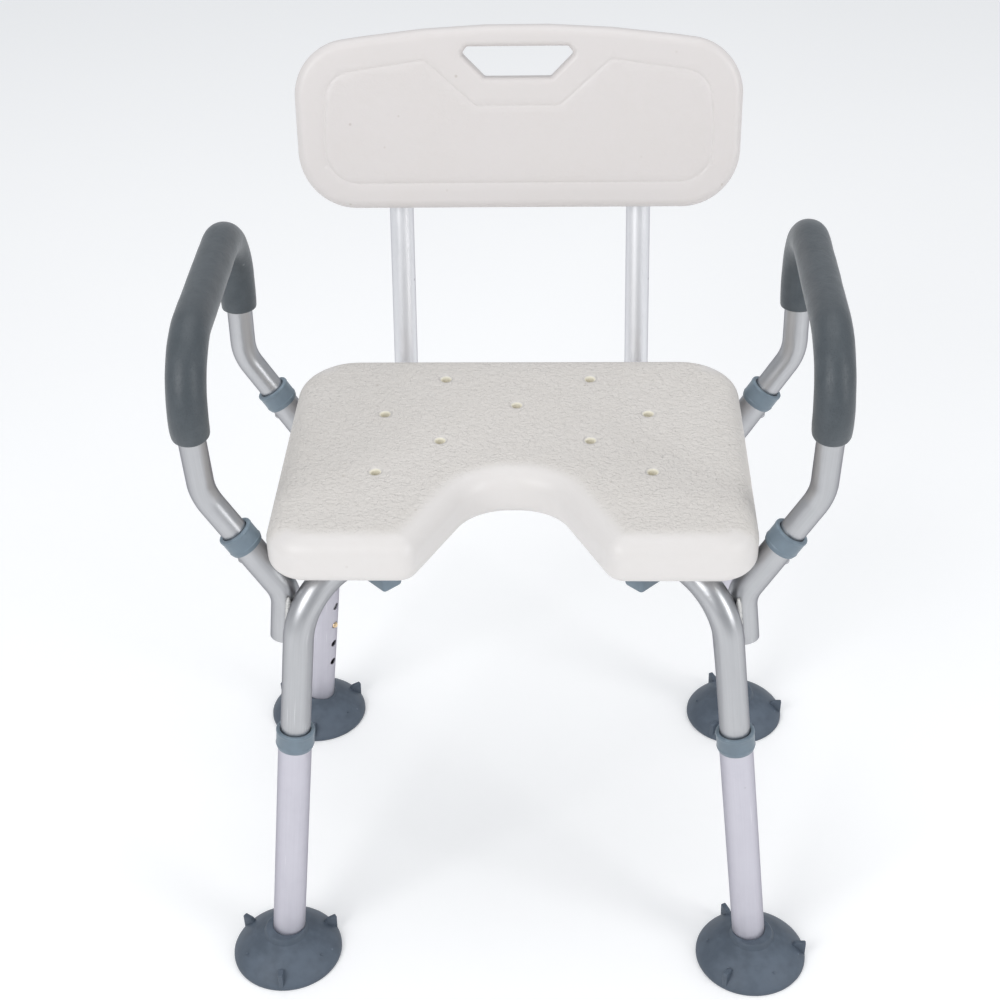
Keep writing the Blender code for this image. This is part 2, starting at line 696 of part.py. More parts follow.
# ======================================================================================
# The whole chair
# ======================================================================================
def build():
    clear_scene()
    white = material("white_plastic", (0.86, 0.84, 0.80), 0.45)
    satin = material("satin_aluminium", (0.78, 0.79, 0.80), 0.32, 1.0)
    matte = material("matte_aluminium", (0.70, 0.69, 0.74), 0.50, 1.0)
    slate = material("slate_plastic", (0.17, 0.23, 0.27), 0.50)
    rubber = material("slate_rubber", (0.10, 0.14, 0.18), 0.70)
    foam = material("dark_foam", (0.06, 0.08, 0.10), 0.85)
    brass = material("brass", (0.75, 0.58, 0.32), 0.30, 1.0)
    steel = material("bright_steel", (0.75, 0.75, 0.76), 0.25, 1.0)

    legs = {(end, side): Leg(side, end) for _name, end in ENDS for _side, side in SIDES}
    front = [legs[-1, -1], legs[-1, 1]]
    rear = [legs[1, -1], legs[1, 1]]
    frame_tube("frame_tube_front", front, FRONT_MEET_Y, satin)
    frame_tube("frame_tube_rear", rear, REAR_MEET_Y, satin)
    cross_bolt(bend_peak(front[0], FRONT_MEET_Y) - FRAME_R,
               bend_peak(rear[0], REAR_MEET_Y) + FRAME_R, steel)

    saddles = list(saddle_spots(front + rear))
    seat(saddles, white)
    backrest(white)

    for end_name, end in ENDS:
        for side_name, side in SIDES:
            leg = legs[end, side]
            where = f"{end_name}_{side_name}"
            leg_extension(f"leg_extension_{where}", leg, matte)
            leg_collar(f"leg_collar_{where}", leg, slate)
            suction_foot(f"suction_foot_{where}", leg, rubber)
            spring_button(f"leg_button_{where}", leg.at(LEG_BUTTON_Z) + leg.face * LEG_R,
                          leg.face, brass)
            arm_socket(f"arm_socket_{where}", leg, satin)
            arm_collar(f"arm_collar_{where}", leg, slate)
            spring_button(f"arm_button_{where}", *arm_button_spot(leg), steel)

    for leg, middle, across in saddles:
        end_name = "front" if leg.end < 0 else "rear"
        side_name = "left" if leg.side > 0 else "right"
        where = f"{end_name}_{side_name}"
        saddle_clip(f"saddle_clip_{where}", leg, middle, across, slate)
        for way, label in ((-1, "a"), (1, "b")):
            point = middle + across * (way * SADDLE_SCREW)
            spot = (point.x, point.y, POCKET_TOP_Z - GAP)
            length = SEAT_TOP_Z - SEAT_T - POCKET_TOP_Z + SCREW_BITE
            pan_screw(f"saddle_screw_{where}_{label}", spot, (0, 0, 1), length, steel)

    for side_name, side in SIDES:
        armrest_tube(f"armrest_tube_{side_name}", side, satin)
        armrest_grip(f"armrest_grip_{side_name}", side, foam)
        back_upright(f"back_upright_{side_name}", side, satin)
        back_receiver(f"back_receiver_{side_name}", side, satin)
        spot = (side * UPRIGHT_X, BACK_BUTTON_Y, RECEIVER_Z - FRAME_R)
        spring_button(f"back_button_{side_name}", spot, (0, 0, -1), steel)
        for label, v in zip(("lower", "upper"), PANEL_SCREWS_V):
            point, _up, ahead = on_upright(v, side * UPRIGHT_X, -ARM_R - GAP)
            pan_screw(f"back_screw_{side_name}_{label}", point, ahead, 0.034, steel)


build()
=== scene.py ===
"""Looks of the shower chair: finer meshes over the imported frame, and their materials."""

import math

import bmesh
import bpy
from mathutils import Matrix, Vector, geometry, noise


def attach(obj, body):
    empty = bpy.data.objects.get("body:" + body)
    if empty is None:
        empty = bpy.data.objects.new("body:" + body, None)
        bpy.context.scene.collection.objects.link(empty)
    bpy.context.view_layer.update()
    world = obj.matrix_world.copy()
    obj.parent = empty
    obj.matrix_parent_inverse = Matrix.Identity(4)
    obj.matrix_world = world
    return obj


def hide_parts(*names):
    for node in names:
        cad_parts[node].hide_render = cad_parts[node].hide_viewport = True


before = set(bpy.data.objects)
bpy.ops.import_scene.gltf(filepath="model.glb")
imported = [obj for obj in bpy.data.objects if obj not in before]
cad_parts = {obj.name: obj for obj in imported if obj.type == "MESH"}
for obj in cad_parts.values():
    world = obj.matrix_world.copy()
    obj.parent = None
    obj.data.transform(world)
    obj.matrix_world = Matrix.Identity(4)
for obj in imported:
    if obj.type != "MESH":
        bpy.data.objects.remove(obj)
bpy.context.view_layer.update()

# ---- sizes, in metres, as in the CAD -------------------------------------------------
GAP = 0.0003
SHIFT = Vector((0.0, -0.0411, 0.0))     # middle of the feet to the origin
FOOT_X, FOOT_Y = {-1: 0.2096, 1: 0.219}, 0.164     # by end: front is -1, rear is 1
SPLAY = 0.138
FRAME_R, LEG_R, LEG_WALL = 0.0127, 0.0143, 0.0012
LEG_BOTTOM_Z, LEG_TOP_Z, FRAME_END_Z = 0.0115, 0.2435, 0.106
LEG_BUTTON_Z, HOLE_PITCH = 0.131, 0.0254
HOLES = range(-2, 4)
HOLE_R = 0.0039
COLLAR_HALF = 0.009
CUP_R, NECK_Z = 0.0489, 0.031
LEFT_FOOT_TURN = -33.0
TUBE_Z, LEG_BEND_R, MIDDLE_BEND_R = 0.3872, 0.058, 0.050
MEET_Y = {-1: 0.0370, 1: 0.0360}
BOLT_R, BOLT_SEAT = 0.003, 0.0012
SEAT_TOP_Z, SEAT_T, SEAT_HALF_W = 0.4405, 0.040, 0.197
SEAT_FRONT_Y, SEAT_REAR_Y = -0.1434, 0.1519
CUT_BACK_X, CUT_BACK_Y, CUT_FRONT_X = 0.0314, -0.0455, 0.0790
DRAINS = [(0.0645, 0.112), (0.1145, 0.054), (0.064, 0.011), (0.115, -0.037)]
MIDDLE_DRAIN_Y = 0.0684
DRAIN_R = 0.004
SADDLE_X = {-1: 0.122, 1: 0.060}
SADDLE_LENGTH, SADDLE_WIDTH, SADDLE_BOTTOM_Z = 0.070, 0.020, 0.3680
SADDLE_SCREW, POCKET_TOP_Z = 0.0255, 0.386
ARM_R, ARM_X, ARM_TOP_Z = 0.011, 0.2450, 0.595
ARM_FRONT_Y, ARM_REAR_Y, ARM_CORNER_R = -0.130, 0.124, 0.056
ARM_TILT = math.radians(31.0)
GRIP_R, GRIP_END_Z = 0.0160, {-1: 0.526, 1: 0.509}
SOCKET_R, SOCKET_WALL, SOCKET_BEND_R = 0.0127, 0.0011, 0.035
SOCKET_END_Z, SOCKET_OFF = 0.324, 0.0263
ARM_COLLAR_X, ARM_COLLAR_Z = 0.2187, 0.4205
ARM_BUTTON_DROP, ARM_END_DROP = 0.0175, 0.029
BACK_TILT, BACK_ORIGIN_Y = math.radians(15.1), 0.1008
UPRIGHT_X, UPRIGHT_TOP_V, UPRIGHT_END_Y = 0.1094, 0.705, 0.020
RECEIVER_Z, RECEIVER_FRONT_Y, RECEIVER_REAR_Y = 0.3615, -0.030, 0.150
BACK_BUTTON_Y = 0.112
PANEL_T, PANEL_HALF_W, PANEL_BOTTOM_V = 0.024, 0.201, 0.568
PANEL_SHOULDER_V, PANEL_PEAK_V = 0.711, 0.7395
PANEL_SCREWS_V = (0.600, 0.684)
BUTTON_R, BUTTON_PROUD, BUTTON_LENGTH = 0.0033, 0.0026, 0.0085

SIDES = (("left", 1), ("right", -1))
ENDS = (("front", -1), ("rear", 1))
RING = 48                               # points round a tube
ARC = math.radians(3.5)                 # step round a bend
SLIVER = 4e-10                          # no face between three rim points in one line
EDGE_STEPS = 8                          # rings round the rim of a panel
ARM_WALL, FRAME_WALL = 0.0012, 0.0014
WELD_R, WELD_HEIGHTS = 0.0024, (0.342, 0.352, 0.362, 0.370)
FLOOR_HALF = 9.0


# ---- Shader helpers ------------------------------------------------------------------
def add(tree, kind, inputs=(), **settings):
    """A node with its settings, and its inputs set or linked by name or number."""
    made = tree.nodes.new(kind)
    for key, value in settings.items():
        setattr(made, key, value)
    for key, value in dict(inputs).items():
        if isinstance(value, bpy.types.NodeSocket):
            tree.links.new(value, made.inputs[key])
        else:
            made.inputs[key].default_value = value
    return made


def mixed(tree, factor, first, second):
    """Colour between two colours, either of which may be a socket."""
    return add(tree, "ShaderNodeMix", {0: factor, 6: first, 7: second},
               data_type="RGBA").outputs[2]


def mapped(tree, value, low, high, to_low=0.0, to_high=1.0):
    made = add(tree, "ShaderNodeMapRange", {0: value, 1: low, 2: high, 3: to_low, 4: to_high},
               interpolation_type="SMOOTHSTEP")
    return made.outputs[0]


def maths(tree, operation, *values):
    made = add(tree, "ShaderNodeMath", dict(enumerate(values)), operation=operation)
    return made.outputs[0]


def noised(tree, vector, scale, detail=3.0, rough=0.55, warp=0.0):
    made = add(tree, "ShaderNodeTexNoise", {"Vector": vector, "Scale": scale, "Detail": detail,
                                            "Roughness": rough, "Distortion": warp})
    return made.outputs["Fac"]


def group(name, keys, fill):
    """A shader node group from a vector to values; fill(tree, vector) returns them by name."""
    tree = bpy.data.node_groups.new(name, "ShaderNodeTree")
    tree.interface.new_socket("Vector", in_out="INPUT", socket_type="NodeSocketVector")
    for key in keys:
        tree.interface.new_socket(key, in_out="OUTPUT", socket_type="NodeSocketFloat")
    made = fill(tree, tree.nodes.new("NodeGroupInput").outputs["Vector"])
    leave = tree.nodes.new("NodeGroupOutput")
    for key in keys:
        tree.links.new(made[key], leave.inputs[key])
    return tree


def use(tree, node_group, vector):
    return add(tree, "ShaderNodeGroup", {"Vector": vector}, node_tree=node_group).outputs


def fill_blotches(tree, vector):
    """Broad soft unevenness, and sparse small specks of dirt."""
    broad = noised(tree, vector, 14.0, 3.0)
    fine = noised(tree, vector, 120.0, 2.0)
    specks = add(tree, "ShaderNodeTexVoronoi", {"Vector": vector, "Scale": 55.0})
    near = mapped(tree, specks.outputs["Distance"], 0.035, 0.10, 1.0, 0.0)
    rare = mapped(tree, noised(tree, vector, 31.0, 0.0), 0.60, 0.68)
    even = maths(tree, "MULTIPLY_ADD", fine, 0.35, maths(tree, "MULTIPLY", broad, 0.65))
    return {"Blotch": mapped(tree, even, 0.36, 0.66), "Speck": maths(tree, "MULTIPLY", near, rare)}


def fill_scratches(tree, vector):
    """Fine hairline scratches that run mostly along local Z."""
    thin = add(tree, "ShaderNodeMapping", {"Vector": vector, "Rotation": (0.1, 0.06, 0.3),
                                           "Scale": (420.0, 420.0, 9.0)})
    lines = mapped(tree, noised(tree, thin.outputs[0], 1.0, 1.0), 0.66, 0.72)
    where = mapped(tree, noised(tree, vector, 22.0, 1.0), 0.52, 0.64)
    return {"Scratch": maths(tree, "MULTIPLY", lines, where)}


def fill_moulded(tree, vector):
    """Height of a moulded skin: very fine pimples over a slight waviness."""
    fine = noised(tree, vector, 900.0, 1.0)
    wavy = noised(tree, vector, 70.0, 2.0)
    return {"Height": maths(tree, "MULTIPLY_ADD", wavy, 0.6, maths(tree, "MULTIPLY", fine, 0.3))}


BLOTCHES = group("uneven_dirt", ("Blotch", "Speck"), fill_blotches)
SCRATCHES = group("hairline_scratches", ("Scratch",), fill_scratches)
MOULDED = group("moulded_skin", ("Height",), fill_moulded)


def new_material(name, **constants):
    """A material with its tree and its shader, some of the shader's inputs set."""
    made = bpy.data.materials.new(name)
    made.use_nodes = True
    tree = made.node_tree
    shader = tree.nodes["Principled BSDF"]
    for key, value in constants.items():
        shader.inputs[key.replace("_", " ")].default_value = value
    return made, tree, shader


def place_in_object(tree):
    return add(tree, "ShaderNodeTexCoord").outputs["Object"]


def attribute(tree, name, output="Fac"):
    return add(tree, "ShaderNodeAttribute", attribute_name=name).outputs[output]


def finish(tree, shader, colour, rough, height, strength, distance):
    """Links a colour, a roughness and a bumped surface to the shader."""
    bump = add(tree, "ShaderNodeBump", {"Height": height, "Strength": strength,
                                        "Distance": distance})
    tree.links.new(colour, shader.inputs["Base Color"])
    tree.links.new(rough, shader.inputs["Roughness"])
    tree.links.new(bump.outputs[0], shader.inputs["Normal"])


# ---- Materials -----------------------------------------------------------------------
def white_plastic(name, top, side, grain):
    """Blow-moulded white plastic; the grained face is warmer and less glossy."""
    made, tree, shader = new_material(name, IOR=1.49)
    spot = place_in_object(tree)
    blotch, speck = use(tree, BLOTCHES, spot)
    skin = use(tree, MOULDED, spot)[0]
    face = attribute(tree, "grain")
    clean = mixed(tree, face, side, top)
    shade = mixed(tree, maths(tree, "MULTIPLY", blotch, 0.05), clean, (0.55, 0.50, 0.42, 1.0))
    dirty = mixed(tree, maths(tree, "MULTIPLY", speck, 0.30), shade, (0.30, 0.24, 0.17, 1.0))
    # painted light: the drain-hole walls are tinted pale yellow for daylight shining through the
    # thin plastic
    drain_glow_mask = attribute(tree, "drain_glow_mask")
    colour = mixed(tree, drain_glow_mask, dirty, (0.78, 0.74, 0.62, 1.0))
    # painted glow: a faint emission on the drain-hole walls stands in for daylight shining through
    # the thin plastic
    tree.links.new(maths(tree, "MULTIPLY", drain_glow_mask, 0.03), shader.inputs["Emission Strength"])
    shader.inputs["Emission Color"].default_value = (0.95, 0.90, 0.72, 1.0)
    rough = maths(tree, "MULTIPLY_ADD", blotch, 0.10, mapped(tree, face, 0.0, 1.0, 0.36, 0.52))
    stir = add(tree, "ShaderNodeTexNoise", {"Vector": spot, "Scale": 260.0}).outputs[1]
    stirred = add(tree, "ShaderNodeVectorMath", {0: stir, 1: (0.004, 0.004, 0.004), 2: spot},
                  operation="MULTIPLY_ADD").outputs[0]
    cells = add(tree, "ShaderNodeTexVoronoi", {"Vector": stirred, "Scale": 330.0},
                feature="SMOOTH_F1")
    curls = noised(tree, spot, 230.0, 1.5, 0.5, 1.0)
    leather = maths(tree, "MULTIPLY_ADD", cells.outputs["Distance"], 0.5, curls)
    pattern = maths(tree, "MULTIPLY", maths(tree, "MULTIPLY", leather, face), grain)
    height = maths(tree, "MULTIPLY_ADD", skin, 0.08, pattern)
    finish(tree, shader, colour, rough, height, 0.90, 0.0018)
    return made


def satin_tube(name, tint, rough, streak):
    """Anodised aluminium with fine drawing lines along the tube."""
    made, tree, shader = new_material(name, Metallic=1.0,
                                      Specular_Tint=(0.34, 0.34, 0.37, 1.0))
    straight = attribute(tree, "straight", "Vector")
    stretched = add(tree, "ShaderNodeMapping", {"Vector": straight,
                                                "Scale": (900.0, 900.0, 14.0)}).outputs[0]
    lines = noised(tree, stretched, 1.0, 3.0, 0.6)
    blotch, speck = use(tree, BLOTCHES, straight)
    scratch = use(tree, SCRATCHES, straight)[0]
    darker = tuple(c * 0.80 for c in tint[:3]) + (1.0,)
    base = mixed(tree, maths(tree, "MULTIPLY", lines, streak), tint, darker)
    marked = mixed(tree, maths(tree, "MULTIPLY", speck, 0.35), base, (0.22, 0.21, 0.20, 1.0))
    worn = mixed(tree, maths(tree, "MULTIPLY", scratch, 0.30), marked, (0.93, 0.93, 0.94, 1.0))
    value = maths(tree, "MULTIPLY_ADD", blotch, 0.09, rough)
    value = maths(tree, "MULTIPLY_ADD", lines, 0.10, value)
    value = maths(tree, "SUBTRACT", value, maths(tree, "MULTIPLY", scratch, 0.12))
    height = maths(tree, "MULTIPLY_ADD", scratch, -0.6, lines)
    finish(tree, shader, worn, value, height, 0.10, 0.0003)
    return made


def slate_moulding(name, colour, rough, pimples, up_paleness):
    """Grey-blue plastic or rubber: mould skin, paler patches on surfaces that face up, a few
    specks.
    """
    made, tree, shader = new_material(name, IOR=1.50)
    spot = place_in_object(tree)
    blotch, speck = use(tree, BLOTCHES, spot)
    skin = use(tree, MOULDED, spot)[0]
    pale = tuple(min(1.0, c * 1.5 + 0.03) for c in colour[:3]) + (1.0,)
    dark = tuple(c * 0.72 for c in colour[:3]) + (1.0,)
    base = mixed(tree, 0.5, mixed(tree, blotch, dark, colour), colour)
    # surfaces are made paler in soft patches, the more so the more their normal points up
    up = add(tree, "ShaderNodeSeparateXYZ", {0: add(tree, "ShaderNodeNewGeometry").outputs[1]})
    facing_up_share = mapped(tree, up.outputs[2], 0.2, 1.0, 0.0, up_paleness)
    paler_facing_up = mixed(tree, maths(tree, "MULTIPLY", facing_up_share, blotch), base, pale)
    finish(tree, shader, mixed(tree, speck, paler_facing_up, pale),
           maths(tree, "MULTIPLY_ADD", blotch, 0.12, rough), skin, pimples, 0.0006)
    return made


def foam(name):
    """Closed-cell foam: tiny open pores in a slightly wrinkled dark skin, the pores painted darker
    for their shade.
    """
    made, tree, shader = new_material(name, IOR=1.42, Specular_IOR_Level=0.55,
                                      Sheen_Weight=0.10, Sheen_Roughness=0.5)
    straight = attribute(tree, "straight", "Vector")
    pores = add(tree, "ShaderNodeTexVoronoi", {"Vector": straight, "Scale": 900.0})
    pit = mapped(tree, pores.outputs["Distance"], 0.05, 0.42)
    coarse = noised(tree, straight, 210.0, 4.0, 0.62)
    blotch, speck = use(tree, BLOTCHES, straight)
    base = mixed(tree, blotch, (0.058, 0.070, 0.080, 1.0), (0.074, 0.088, 0.099, 1.0))
    # painted shade: the pores are coloured darker for the shade inside them
    pores_shaded = mixed(tree, pit, (0.044, 0.053, 0.061, 1.0), base)
    colour = mixed(tree, maths(tree, "MULTIPLY", speck, 0.5), pores_shaded, (0.22, 0.24, 0.26, 1.0))
    finish(tree, shader, colour, maths(tree, "MULTIPLY_ADD", coarse, 0.16, 0.33),
           maths(tree, "MULTIPLY_ADD", pit, 0.35, coarse), 0.35, 0.0008)
    return made


def plated(name, colour, rough, tarnish):
    """Bright plated metal with a little tarnish and fine scratches."""
    made, tree, shader = new_material(name, Metallic=1.0)
    spot = place_in_object(tree)
    blotch, _speck = use(tree, BLOTCHES, spot)
    scratch = use(tree, SCRATCHES, spot)[0]
    stain = mapped(tree, noised(tree, spot, 240.0, 3.0), 0.48, 0.70)
    stained = mixed(tree, maths(tree, "MULTIPLY", stain, 0.5), colour, tarnish)
    value = maths(tree, "MULTIPLY_ADD", blotch, 0.12, rough)
    value = maths(tree, "MULTIPLY_ADD", stain, 0.14, value)
    finish(tree, shader, stained, value, maths(tree, "ADD", scratch, stain), 0.15, 0.0002)
    return made


def weld_metal(name):
    """Unpolished weld bead: ripples, spatter and a whitish oxide."""
    made, tree, shader = new_material(name, Metallic=0.75)
    spot = place_in_object(tree)
    lumps = noised(tree, spot, 380.0, 4.0, 0.65)
    ripple = add(tree, "ShaderNodeTexWave", {"Vector": spot, "Scale": 150.0, "Distortion": 3.0},
                 bands_direction="Z").outputs["Fac"]
    colour = mixed(tree, lumps, (0.50, 0.49, 0.47, 1.0), (0.86, 0.86, 0.85, 1.0))
    finish(tree, shader, colour, mapped(tree, lumps, 0.3, 0.7, 0.42, 0.70),
           maths(tree, "MULTIPLY_ADD", ripple, 0.35, lumps), 0.5, 0.0008)
    return made


def floor_paint(name):
    """Seamless pale studio floor with the faintest mottle."""
    made, tree, shader = new_material(name, Specular_IOR_Level=0.2)
    spot = place_in_object(tree)
    cloudy = noised(tree, spot, 1.3, 2.0)
    tree.links.new(mixed(tree, cloudy, (0.92, 0.92, 0.92, 1.0), (0.94, 0.94, 0.94, 1.0)),
                   shader.inputs["Base Color"])
    shader.inputs["Emission Color"].default_value = (1.0, 1.0, 1.0, 1.0)
    shader.inputs["Emission Strength"].default_value = 0.15
    tree.links.new(mapped(tree, cloudy, 0.3, 0.7, 0.72, 0.85), shader.inputs["Roughness"])
    return made


SEAT_WHITE = white_plastic("white_plastic_seat", (0.690, 0.657, 0.622, 1.0),
                           (0.728, 0.700, 0.682, 1.0), 1.0)
BACK_WHITE = white_plastic("white_plastic_back", (0.690, 0.654, 0.640, 1.0),
                           (0.700, 0.664, 0.650, 1.0), 0.12)
SATIN = satin_tube("satin_aluminium", (0.535, 0.54, 0.555, 1.0), 0.27, 0.75)
BRIGHT = satin_tube("bright_aluminium", (0.92, 0.92, 0.94, 1.0), 0.34, 0.35)
MATTE = satin_tube("matte_aluminium", (0.655, 0.640, 0.700, 1.0), 0.40, 0.30)
SLATE = slate_moulding("slate_plastic", (0.170, 0.222, 0.268, 1.0), 0.36, 0.15, 0.5)
RUBBER = slate_moulding("slate_rubber", (0.079, 0.103, 0.136, 1.0), 0.50, 0.30, 0.35)
FOAM = foam("dark_foam")
BRASS = plated("brass", (0.86, 0.66, 0.42, 1.0), 0.20, (0.50, 0.33, 0.20, 1.0))
STEEL = plated("bright_steel", (0.80, 0.80, 0.81, 1.0), 0.16, (0.55, 0.54, 0.52, 1.0))
NICKEL = plated("dull_nickel", (0.50, 0.50, 0.52, 1.0), 0.24, (0.32, 0.31, 0.30, 1.0))
WELD = weld_metal("weld_bead")


# ---- Mesh helpers --------------------------------------------------------------------
def to_mesh(work, name):
    """The mesh of a bmesh, which is freed."""
    mesh = bpy.data.meshes.new(name)
    work.to_mesh(mesh)
    work.free()
    return mesh


def placed(name, data):
    """An object for some data, linked to the scene."""
    thing = bpy.data.objects.new(name, data)
    bpy.context.scene.collection.objects.link(thing)
    return thing


def settle(name, mesh, finish, matrix=None, sharp=32.0):
    """An object for a mesh, smooth but for its sharp edges, moved to the frame's origin."""
    mesh.name = name
    mesh.shade_smooth()
    mesh.set_sharp_from_angle(angle=math.radians(sharp))
    mesh.materials.clear()
    mesh.materials.append(finish)
    made = placed(name, mesh)
    made.matrix_world = Matrix.Translation(SHIFT) @ (matrix or Matrix.Identity(4))
    return made


def give(piece, body, slot_name, *nodes):
    """Puts a piece on its body and in the place of CAD nodes; slot_name is not used."""
    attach(piece, body)
    if nodes:
        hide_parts(*nodes)
    return piece


def aim(point, axis, front=(0.0, 0.0, 1.0)):
    """Matrix at point with local Z along axis and local X as near to front as can be."""
    z = Vector(axis).normalized()
    x = Vector(front) - z * Vector(front).dot(z)
    if x.length < 1e-6:
        x = z.orthogonal()
    x.normalize()
    turn = Matrix((x, z.cross(x), z)).transposed().to_4x4()
    return Matrix.Translation(Vector(point)) @ turn


def rounded(corners, radii, step, closed=False):
    """Points along straight runs joined by arcs, each arc tangent to both of its runs."""
    corners = [Vector(corner) for corner in corners]
    count = len(corners)
    path = []
    for index, corner in enumerate(corners):
        radius = radii[index]
        if radius == 0.0 or (not closed and index in (0, count - 1)):
            path.append(corner)
            continue
        back = (corners[index - 1] - corner).normalized()
        ahead = (corners[(index + 1) % count] - corner).normalized()
        half = back.angle(ahead) / 2
        turn = math.pi - 2 * half
        middle = corner + (back + ahead).normalized() * (radius / math.sin(half))
        start = corner + back * (radius / math.tan(half)) - middle
        normal = (-back).cross(ahead).normalized()
        pieces = max(2, math.ceil(turn / step))
        for piece in range(pieces + 1):
            path.append(middle + Matrix.Rotation(turn * piece / pieces, 3, normal) @ start)
    return path


def frames_along(path):
    """(point, x, y, distance) at each point of a path, with no twist."""
    tangents = []
    for index, point in enumerate(path):
        before = path[max(index - 1, 0)]
        after = path[min(index + 1, len(path) - 1)]
        tangents.append((after - before).normalized())
    x = tangents[0].orthogonal().normalized()
    found = []
    distance = 0.0
    for index, (point, tangent) in enumerate(zip(path, tangents)):
        if index:
            x = tangents[index - 1].rotation_difference(tangent) @ x
            distance += (point - path[index - 1]).length
        x = (x - tangent * x.dot(tangent)).normalized()
        found.append((point, x, tangent.cross(x), distance))
    return found


def skin(rings, closed, sides=RING):
    """Mesh over rings of (point, x, y, radius, distance); closed joins the last to the first.

    Each vertex keeps its place on the straightened tube in the attribute "straight".
    """
    work = bmesh.new()
    layer = work.verts.layers.float_vector.new("straight")
    loops = []
    for point, x, y, radius, distance in rings:
        count = 1 if radius == 0.0 else sides
        loop = []
        for index in range(count):
            angle = math.tau * index / sides
            flat = (radius * math.cos(angle), radius * math.sin(angle))
            vertex = work.verts.new(point + x * flat[0] + y * flat[1])
            vertex[layer] = (*flat, distance)
            loop.append(vertex)
        loops.append(loop)
    pairs = list(zip(loops, loops[1:]))
    if closed:
        pairs.append((loops[-1], loops[0]))
    for one, two in pairs:
        for index in range(sides):
            after = (index + 1) % sides
            corners = [one[index % len(one)], one[after % len(one)],
                       two[after % len(two)], two[index % len(two)]]
            corners = list(dict.fromkeys(corners))
            if len(corners) > 2:
                work.faces.new(corners)
    bmesh.ops.recalc_face_normals(work, faces=work.faces)
    return to_mesh(work, "skin")


def tube(path, radius, wall, nose=0.0005, sides=RING):
    """Open tube along a path, its two ends rounded by nose."""
    spots = frames_along(path)
    bore = radius - wall

    def end_rings(spot, way):
        point, x, y, distance = spot
        along = x.cross(y)
        made = []
        for turn in (0.0, 30.0, 60.0, 90.0):
            lift = nose * math.sin(math.radians(turn))
            shrink = nose * (1 - math.cos(math.radians(turn)))
            slide = nose - lift
            made.append((point - along * (way * slide), x, y, radius - shrink, distance))
        return made

    first = end_rings(spots[0], -1)[::-1]
    last = end_rings(spots[-1], 1)
    outer = [(p, x, y, radius, d) for p, x, y, d in spots[1:-1]]
    inner = [(p, x, y, bore, d) for p, x, y, d in reversed(spots)]
    return skin(first + outer + last + inner, True, sides)


def lathe(profile, sides=RING):
    """Mesh turned about local Z from (radius, height) points; closed unless it ends on Z."""
    x, y = Vector((1, 0, 0)), Vector((0, 1, 0))
    rings = [(Vector((0, 0, z)), x, y, r, z) for r, z in profile]
    return skin(rings, profile[0][0] > 0.0 or profile[-1][0] > 0.0, sides)


def softened(profile, radius, steps=3):
    """A profile with its marked corners rounded: (radius, height, how much)."""
    made = []
    count = len(profile)
    for index, (r, z, share) in enumerate(profile):
        here = Vector((r, z))
        back = Vector(profile[index - 1][:2]) - here
        ahead = Vector(profile[(index + 1) % count][:2]) - here
        cut = min(radius * share, back.length * 0.45, ahead.length * 0.45)
        if share == 0 or cut < 1e-6:
            made.append((r, z))
            continue
        one, two = here + back.normalized() * cut, here + ahead.normalized() * cut
        for step in range(steps + 1):
            t = step / steps
            spot = one.lerp(here, t).lerp(here.lerp(two, t), t)
            made.append((spot.x, spot.y))
    return made


def carved(mesh, cutter):
    """The mesh with another one cut away from it."""
    host, tool = placed("host", mesh), placed("tool", cutter)
    boolean = host.modifiers.new("cut", "BOOLEAN")
    boolean.object = tool
    boolean.solver = "EXACT"
    bpy.context.view_layer.update()
    depsgraph = bpy.context.evaluated_depsgraph_get()
    made = bpy.data.meshes.new_from_object(host.evaluated_get(depsgraph))
    for thing in (host, tool):
        bpy.data.objects.remove(thing, do_unlink=True)
    return made


def pierced(mesh, holes, sides=24):
    """The mesh with round holes cut in it: (matrix, radius, start, end) along local Z."""
    work = bmesh.new()
    for matrix, radius, start, end in holes:
        middle = Matrix.Translation((0.0, 0.0, (start + end) / 2))
        bmesh.ops.create_cone(work, cap_ends=True, segments=sides, radius1=radius,
                              radius2=radius, depth=end - start, matrix=matrix @ middle)
    return carved(mesh, to_mesh(work, "drill"))


def block_mesh(size, centre=(0.0, 0.0, 0.0), bevel=0.0):
    work = bmesh.new()
    bmesh.ops.create_cube(work, size=1.0)
    bmesh.ops.scale(work, vec=size, verts=work.verts)
    if bevel:
        bmesh.ops.bevel(work, geom=list(work.edges), offset=bevel, segments=4, profile=0.5,
                        affect="EDGES")
    bmesh.ops.translate(work, verts=work.verts, vec=centre)
    return to_mesh(work, "block")


def straighten(mesh, path):
    """Writes the attribute "straight" again, from each vertex's nearest place on a path."""
    spots = frames_along(path)
    old = mesh.attributes.get("straight")
    if old:
        mesh.attributes.remove(old)
    layer = mesh.attributes.new("straight", "FLOAT_VECTOR", "POINT")
    for vertex in mesh.vertices:
        best = None
        for (p, x, y, d), (q, _x, _y, _d) in zip(spots, spots[1:]):
            run = q - p
            share = min(1.0, max(0.0, (vertex.co - p).dot(run) / run.length_squared))
            off = vertex.co - p - run * share
            if best is None or off.length < best[0]:
                best = (off.length, off.dot(x), off.dot(y), d + run.length * share)
        layer.data[vertex.index].vector = best[1:]
    return mesh


def joined(meshes):
    """One mesh made of several, their attributes kept."""
    things = [placed("loose", mesh) for mesh in meshes]
    with bpy.context.temp_override(active_object=things[0], selected_editable_objects=things):
        bpy.ops.object.join()
    mesh = things[0].data
    bpy.data.objects.remove(things[0], do_unlink=True)
    return mesh


